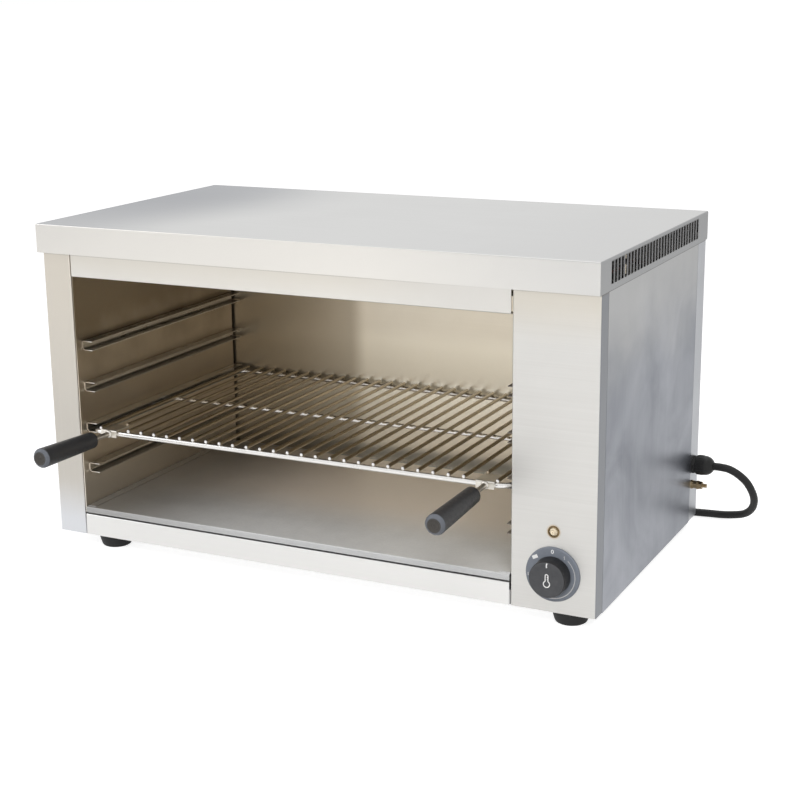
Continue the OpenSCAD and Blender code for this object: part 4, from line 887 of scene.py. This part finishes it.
# %% Rods, weld rings and grips
STEM_D, STEM_SHOW, GRIP_LEN, GRIP_R1, GRIP_R2 = 7.0, 38.0, 112.0, 11.25, 13.25
BRACKET_W, TILT = 25.0, math.radians(2.1)
grip_outline = [
    (0, 60, 0), (STEM_D / 2 + 0.05, 60, 0), (STEM_D / 2 + 0.05, 0, 0), (6.2, 0, 0.8),
    (GRIP_R1, 0, 4.6), (GRIP_R1 + 0.1, 5, 0), (GRIP_R2, GRIP_LEN - 4, 1.0),
    (GRIP_R2 - 3.4, GRIP_LEN, 1.2), (8.0, GRIP_LEN, 1.2), (6.6, GRIP_LEN - 1.2, 1.5),
    (2.4, GRIP_LEN - 1.6, 0.4), (1.6, GRIP_LEN - 0.9, 0.4), (0, GRIP_LEN - 0.9, 0)]
weld_outline = [(3.4, 0.2, 0), (5.6, 0.2, 0), (5.2, 1.4, 0.6), (4.1, 2.4, 0.5), (3.4, 3.2, 0), (3.4, 0.2, 0)]
stems, welds, grips = bmesh.new(), bmesh.new(), bmesh.new()
for x, lean in ((bracket_low.x + BRACKET_W / 2 * MM, 1), (bracket_high.x - BRACKET_W / 2 * MM, -1)):
    foot = Vector((x, bracket_low.y, near_left.z))
    axis = Vector((0, -math.cos(TILT), lean * math.sin(TILT)))
    draw_rod(stems, [foot - axis * 0.3 * MM, foot + axis * (STEM_SHOW + 59) * MM], STEM_D * MM, 28)
    turn(welds, weld_outline, foot, axis, 28)
    turn(grips, grip_outline, foot + axis * STEM_SHOW * MM, axis, 56)
    free_end = foot + axis * (STEM_SHOW + GRIP_LEN) * MM
    # The end face inside the chamfer goes back to dark brown, so the painted highlight stays on the chamfer
    # ring.
    tint_over(grip_black, (0.036, 0.032, 0.028), 1.0, spot(free_end, 8.2, 9.6))
make_piece("handle_rods", stems, stem_metal, "grid", "handle_stems")
make_piece("handle_welds", welds, bracket_metal, "grid")
make_piece("handle_grips_moulded", grips, grip_black, "grid", "handle_grips", sharp=40)

# %% [markdown]
# ## The heating elements
# Three hairpins of sheathed tube hang under the ceiling. They only show from low in front, but
# there a smooth tube matters, so each is one rod swept round its bend.

# %% Hairpin elements
heat_low, heat_high = corners_of("heating_elements")
TUBE = heat_high.z - heat_low.z
LEGS = 56 * MM
heat_pitch = (heat_high.y - heat_low.y - TUBE - LEGS) / 2
heat_z = (heat_low.z + heat_high.z) / 2
bend_x = heat_low.x + TUBE / 2
shape = bmesh.new()
for k in range(3):
    y = heat_low.y + TUBE / 2 + k * heat_pitch
    hairpin = [Vector((x, y + over, heat_z)) for x, over in (
        (heat_high.x, 0), (bend_x, 0), (bend_x, LEGS), (heat_high.x, LEGS))]
    draw_rod(shape, bend_round(hairpin, LEGS / 2 - 0.01 * MM, 12), TUBE, 20)
make_piece("element_hairpins", shape, element_metal, "cabinet", "heating_elements")

# %% [markdown]
# ## Knob and dial
# The knob is a squat drum with a soft rim and a slightly hollow face, on a flat dial with a turned
# edge. Their signs are pad-printed, so each is a stroke of ink a few hundredths of a millimetre
# thick: a path on the surface with a width, closed all round so that it is a real solid.

# %% Helper: printed stroke
INK_UNDER, INK_OVER = -0.05, 0.06

def print_stroke(shape, path, width, surface, closed=False, end_width=None):
    """A flat stroke along a 2D path in millimetres. surface(u, v, lift) gives the place in space."""
    path = [Vector(p) for p in path]
    count = len(path)
    edges = []
    for i, here in enumerate(path):
        after = path[(i + 1) % count if closed else min(i + 1, count - 1)]
        run = (after - path[i - 1 if closed else max(i - 1, 0)]).normalized()
        half = (width + ((end_width or width) - width) * i / (count - 1)) / 2
        aside = Vector((-run.y, run.x)) * half
        edges.append([shape.verts.new(surface(p.x, p.y, lift)) for p, lift in (
            (here - aside, INK_UNDER), (here + aside, INK_UNDER), (here + aside, INK_OVER),
            (here - aside, INK_OVER))])
    for low, high in zip(edges, edges[1:] + (edges[:1] if closed else [])):
        join_rings(shape, low, high)
    if not closed:
        shape.faces.new(edges[0][::-1])
        shape.faces.new(edges[-1])

def arc_path(centre, radius, start, end, steps=16, end_radius=None):
    """Points on an arc in degrees, counted from straight up, clockwise."""
    made = []
    for k in range(steps + 1):
        a = math.radians(start + (end - start) * k / steps)
        r = radius + ((end_radius or radius) - radius) * k / steps
        made.append((centre[0] + r * math.sin(a), centre[1] + r * math.cos(a)))
    return made

# %% [markdown]
# ## The knob
# The drum is turned with a dished face. Its sign is a thermometer, drawn as two arcs with two ticks,
# and a slightly bent pointer stands above it.

# %% Knob
KNOB_R, KNOB_H, DIAL_R, DIAL_T, DIAL_GAP = 24.0, 20.0, 35.25, 2.5, 0.6
FACE_R, FACE_DROP = 200.0, 1.0
face_rim = math.sqrt(2 * FACE_R * FACE_DROP)
knob_foot = KNOB + FRONT * (DIAL_T + DIAL_GAP) * MM
dish = [(r, KNOB_H - FACE_DROP + r * r / 2 / FACE_R, 0) for r in (18, 14, 10, 5, 0)]
turned_piece("knob_drum", [
    (0, 3, 0), (18, 3, 0), (18, 0, 0.2), (KNOB_R - 0.8, 0, 0.5), (KNOB_R, 0.8, 0.5),
    (KNOB_R - 0.8, KNOB_H, 2.8), (face_rim, KNOB_H, 0.7)] + dish, knob_foot, FRONT, knob_grey, "control_knob",
    body="knob", sides=96, steps=7)

def on_face(u, v, lift):
    rise = KNOB_H - FACE_DROP + (u * u + v * v) / 2 / FACE_R + lift
    return knob_foot + Vector((u, -rise, v)) * MM

shape = bmesh.new()
BULB_R, STEM_HALF, BULB_AT, STEM_TOP = 4.0, 1.8, -5.4, 5.2
waist = math.degrees(math.asin(STEM_HALF / BULB_R))
thermometer = (arc_path((0, STEM_TOP), STEM_HALF, 90, -90, 14)
               + arc_path((0, BULB_AT), BULB_R, -waist, waist - 360, 28))
print_stroke(shape, thermometer, 1.25, on_face, closed=True)
for v in (3.4, 0.6):
    print_stroke(shape, [(0.3, v), (1.6, v)], 0.8, on_face)
print_stroke(shape, arc_path((8.4, 17.6), 8.6, -104, -62, 8), 1.6, on_face)
make_piece("knob_print", shape, print_white, "knob")

# %% [markdown]
# ## The dial
# The dial has a ring for off at the top, a block to the left of it, a figure, a tick, and a scale
# line that widens as it goes round.

# %% Dial
turned_piece("dial_plate", [
    (0, 0, 0), (DIAL_R, 0, 0.2), (DIAL_R, DIAL_T - 1.2, 0.4), (DIAL_R - 1.2, DIAL_T, 0.5), (5, DIAL_T, 0),
    (5, DIAL_T - 0.6, 0), (0, DIAL_T - 0.6, 0)], KNOB, FRONT, dial_grey, "dial_ring", sides=96)

def on_dial(u, v, lift):
    return KNOB + Vector((u, -(DIAL_T + lift), v)) * MM

def oval(centre, wide, tall, steps=24):
    angles = [2 * math.pi * k / steps for k in range(steps)]
    return [(centre[0] + wide * math.sin(a), centre[1] + tall * math.cos(a)) for a in angles]

shape = bmesh.new()
print_stroke(shape, oval((-0.3, 29.6), 1.4, 2.2), 0.9, on_dial, closed=True)
print_stroke(shape, [(-26.0, 18.5), (-19.6, 21.7)], 4.4, on_dial)
make_piece("dial_print", shape, print_white, "cabinet")
shape = bmesh.new()
print_stroke(shape, arc_path((0, 0), 28.4, 44, 194, 64, 31.0), 0.7, on_dial, end_width=1.3)
print_stroke(shape, [(14.2, 24.6), (15.3, 26.2), (15.3, 21.6)], 0.7, on_dial)
print_stroke(shape, [(-31.6, -1.4), (-31.6, -5.4)], 0.9, on_dial)
make_piece("dial_scale", shape, print_faint, "cabinet")

# %% [markdown]
# ## Pilot lamp
# A dark-gold rim holds an amber lens that is cut inside like a small jewel. The rim is turned; the
# lens is turned with eight sides and kept sharp, so that its facets catch the light one by one.

# %% Rim and lens
turned_piece("lamp_rim", [
    (5.5, -1, 0), (5.5, 1.2, 0.3), (6.1, 1.9, 0.4), (6.9, 1.8, 0.5), (7.5, 0.9, 0.5), (7.5, 0, 0),
    (6.2, 0, 0), (6.2, -1, 0), (5.5, -1, 0)], LAMP, FRONT, dark_gold, "pilot_rim")
turned_piece("lamp_lens", [
    (0, -1, 0), (5.4, -1, 0), (5.4, 0.3, 0), (3.4, 2.3, 0), (1.6, 1.5, 0), (0, 2.4, 0)],
    LAMP, FRONT, lens_amber, "pilot_lens", sides=8, sharp=2)

# %% [markdown]
# ## Feet
# Four rubber-like feet taper from the base to a rounded sole and are held by a screw from below,
# so the sole has a hollow in the middle. One outline is turned at the four places.

# %% Feet
feet_low, feet_high = corners_of("feet")
FOOT_R, SOLE_R, FOOT_H = 24.0, 19.5, 18.0
shape = bmesh.new()
for x in (feet_low.x + FOOT_R * MM, feet_high.x - FOOT_R * MM):
    for y in (feet_low.y + FOOT_R * MM, feet_high.y - FOOT_R * MM):
        turn(shape, [(0, 7, 0), (5.5, 7, 0.5), (6, 0, 0.5), (SOLE_R - 0.5, 0, 8), (SOLE_R + 2, 5, 6),
                     (FOOT_R, FOOT_H - 3, 2), (FOOT_R, FOOT_H, 0.3), (0, FOOT_H, 0)],
             Vector((x, y, feet_low.z)), UP, 72)
make_piece("feet_moulded", shape, foot_black, "cabinet", "feet")

# %% [markdown]
# ## Cable gland
# A hexagon collar seats on the side, and a dome nut screws over it and closes on the cord. The nut
# is gripped by hand, so it has fine ribs. The nut is turned, and the ribs are copies on a circle,
# made by Geometry Nodes.

# %% Collar and dome nut
HEX_R, NUT_R, NUT_FROM, NUT_TO, NUT_END, MOUTH_R, HOLE_R = 14.4, 13.8, 5.0, 17.0, 28.7, 7.2, 5.6
dome = [(NUT_R * math.cos(a), NUT_TO + NUT_R * math.sin(a), 0)
        for a in (math.radians(d) for d in (0, 10, 20, 30, 40, 50, 58))]
turned_piece("gland_collar", [
    (HOLE_R, 0, 0), (HEX_R, 0, 0), (HEX_R, 4.2, 0.8), (HEX_R - 1.2, 5, 0), (HOLE_R, 5, 0), (HOLE_R, 0, 0)],
    GLAND, RIGHT, gland_black, "gland_body", sides=6, sharp=20)
turned_piece("gland_nut", [
    (HOLE_R, NUT_FROM + 0.1, 0), (NUT_R - 0.4, NUT_FROM + 0.1, 0.3), (NUT_R, NUT_FROM + 0.8, 0.3)] + dome
    + [(MOUTH_R, NUT_END, 0.4), (HOLE_R, NUT_END, 0), (HOLE_R, NUT_FROM + 0.1, 0)], GLAND, RIGHT, gland_black,
    "gland_dome_nut")

# %% [markdown]
# ## A tree for the ribs
# A stretched bead is copied round a ring, and the ring is laid over the nut.

# %% Tree: ribs round the nut
ribs_tree, given, result = geometry_tree("ribs on a ring", [
    ("Count", WHOLE, 24), ("Radius", FLOAT, 0.0138), ("Length", FLOAT, 0.01), ("Width", FLOAT, 0.001),
    ("Centre", VECTOR, (0, 0, 0))])
node, _, vector = helpers_for(ribs_tree)
ring = node("GeometryNodeMeshCircle", Vertices=given["Count"], Radius=given["Radius"])
bead = node("GeometryNodeMeshUVSphere", Segments=10, Rings=8, Radius=0.5)
rib = node("GeometryNodeTransform", Geometry=bead.outputs[0],
           Scale=vector(given["Width"], given["Width"], given["Length"]))
copies = node("GeometryNodeInstanceOnPoints", Points=ring.outputs[0], Instance=rib.outputs[0])
laid = node("GeometryNodeTransform", Geometry=copies.outputs[0], Rotation=(0, math.pi / 2, 0),
            Translation=given["Centre"])
hand_over(ribs_tree, given, result, laid.outputs[0])
grow("gland_ribs", ribs_tree, {
    "Count": 24, "Radius": NUT_R * MM, "Length": (NUT_TO - NUT_FROM - 2) * MM, "Width": 1.1 * MM,
    "Centre": GLAND + RIGHT * (NUT_FROM + NUT_TO) / 2 * MM}, gland_black, "cabinet")

# %% [markdown]
# ## Bonding stud
# A brass stud with washers and two nuts takes the bonding wire. Its thread is a row of sharp
# ridges a millimetre apart, so one line whose radius swings between crest and root is enough; a
# true helix would look the same at this size.

# %% Tree: threaded rod
thread_tree, given, result = geometry_tree("threaded rod", [
    ("Ridges", WHOLE, 36), ("Start", VECTOR, (0, 0, 0)), ("End", VECTOR, (1, 0, 0)), ("Crest", FLOAT, 0.003),
    ("Root", FLOAT, 0.0024)])
node, sums, _ = helpers_for(thread_tree)
core = node("GeometryNodeCurvePrimitiveLine", Start=given["Start"], End=given["End"])
dense = node("GeometryNodeResampleCurve", Curve=core.outputs[0], Count=sums("MULTIPLY", given["Ridges"], 2))
odd = sums("MODULO", node("GeometryNodeInputIndex").outputs[0], 2)
girth = sums("ADD", given["Root"], sums("MULTIPLY", odd, sums("SUBTRACT", given["Crest"], given["Root"])))
circle = node("GeometryNodeCurvePrimitiveCircle", Resolution=20, Radius=1.0)
ridged = node("GeometryNodeCurveToMesh", Curve=dense.outputs[0], Profile_Curve=circle.outputs[0], Scale=girth,
              Fill_Caps=True)
hand_over(thread_tree, given, result, ridged.outputs[0])
stud_low, stud_high = corners_of("bonding_stud")
grow("bonding_stud_threaded", thread_tree, {
    "Ridges": round((stud_high.x - stud_low.x) / MM), "Start": Vector((stud_low.x, STUD.y, STUD.z)),
    "End": Vector((stud_high.x, STUD.y, STUD.z)), "Crest": 3 * MM, "Root": 2.45 * MM},
    brass, "cabinet", "bonding_stud", sharp=20)

# %% [markdown]
# ## The plug
# The lead ends in a moulded plug with a ribbed strain relief and two brass pins. It lies behind
# the cabinet with the coil. Body and pins are turned, and the ribs of the relief are part of the
# outline.

# %% Plug and pins
plug_low, plug_high = corners_of("plug_body")
plug_from = Vector((plug_low.x, *middle("plug_body").yz))
PLUG_R = (plug_high.z - plug_low.z) / 2 / MM
RELIEF, PLUG_END = 24.0, 70.0
relief = []
for k in range(6):
    start, r = 1.5 + k * 3.7, 6.5 + k * 0.5
    relief += [(r, start, 0), (r, start + 2.2, 0.3), (r - 1.0, start + 2.5, 0.3), (r - 1.0, start + 3.4, 0.3)]
turned_piece("plug_moulded", [(0, 0, 0), (6.3, 0, 0.5)] + relief + [
    (10, RELIEF, 1), (PLUG_R, RELIEF + 14, 5), (PLUG_R - 1.2, 52, 2), (PLUG_R, 64, 2),
    (PLUG_R, PLUG_END, 2.5), (0, PLUG_END, 0)], plug_from, RIGHT, cord_black, "plug_body", sides=72)
pins_low, pins_high = corners_of("plug_pins")
PIN_R = 2.4
shape = bmesh.new()
for y in (pins_low.y + PIN_R * MM, pins_high.y - PIN_R * MM):
    turn(shape, [(0, 0, 0), (PIN_R, 0, 0), (PIN_R, 17, 0.8), (1.5, 19, 0.8), (0, 19, 0)],
         Vector((pins_low.x, y, plug_from.z)), RIGHT, 32)
make_piece("plug_pins_turned", shape, brass, "cabinet", "plug_pins")
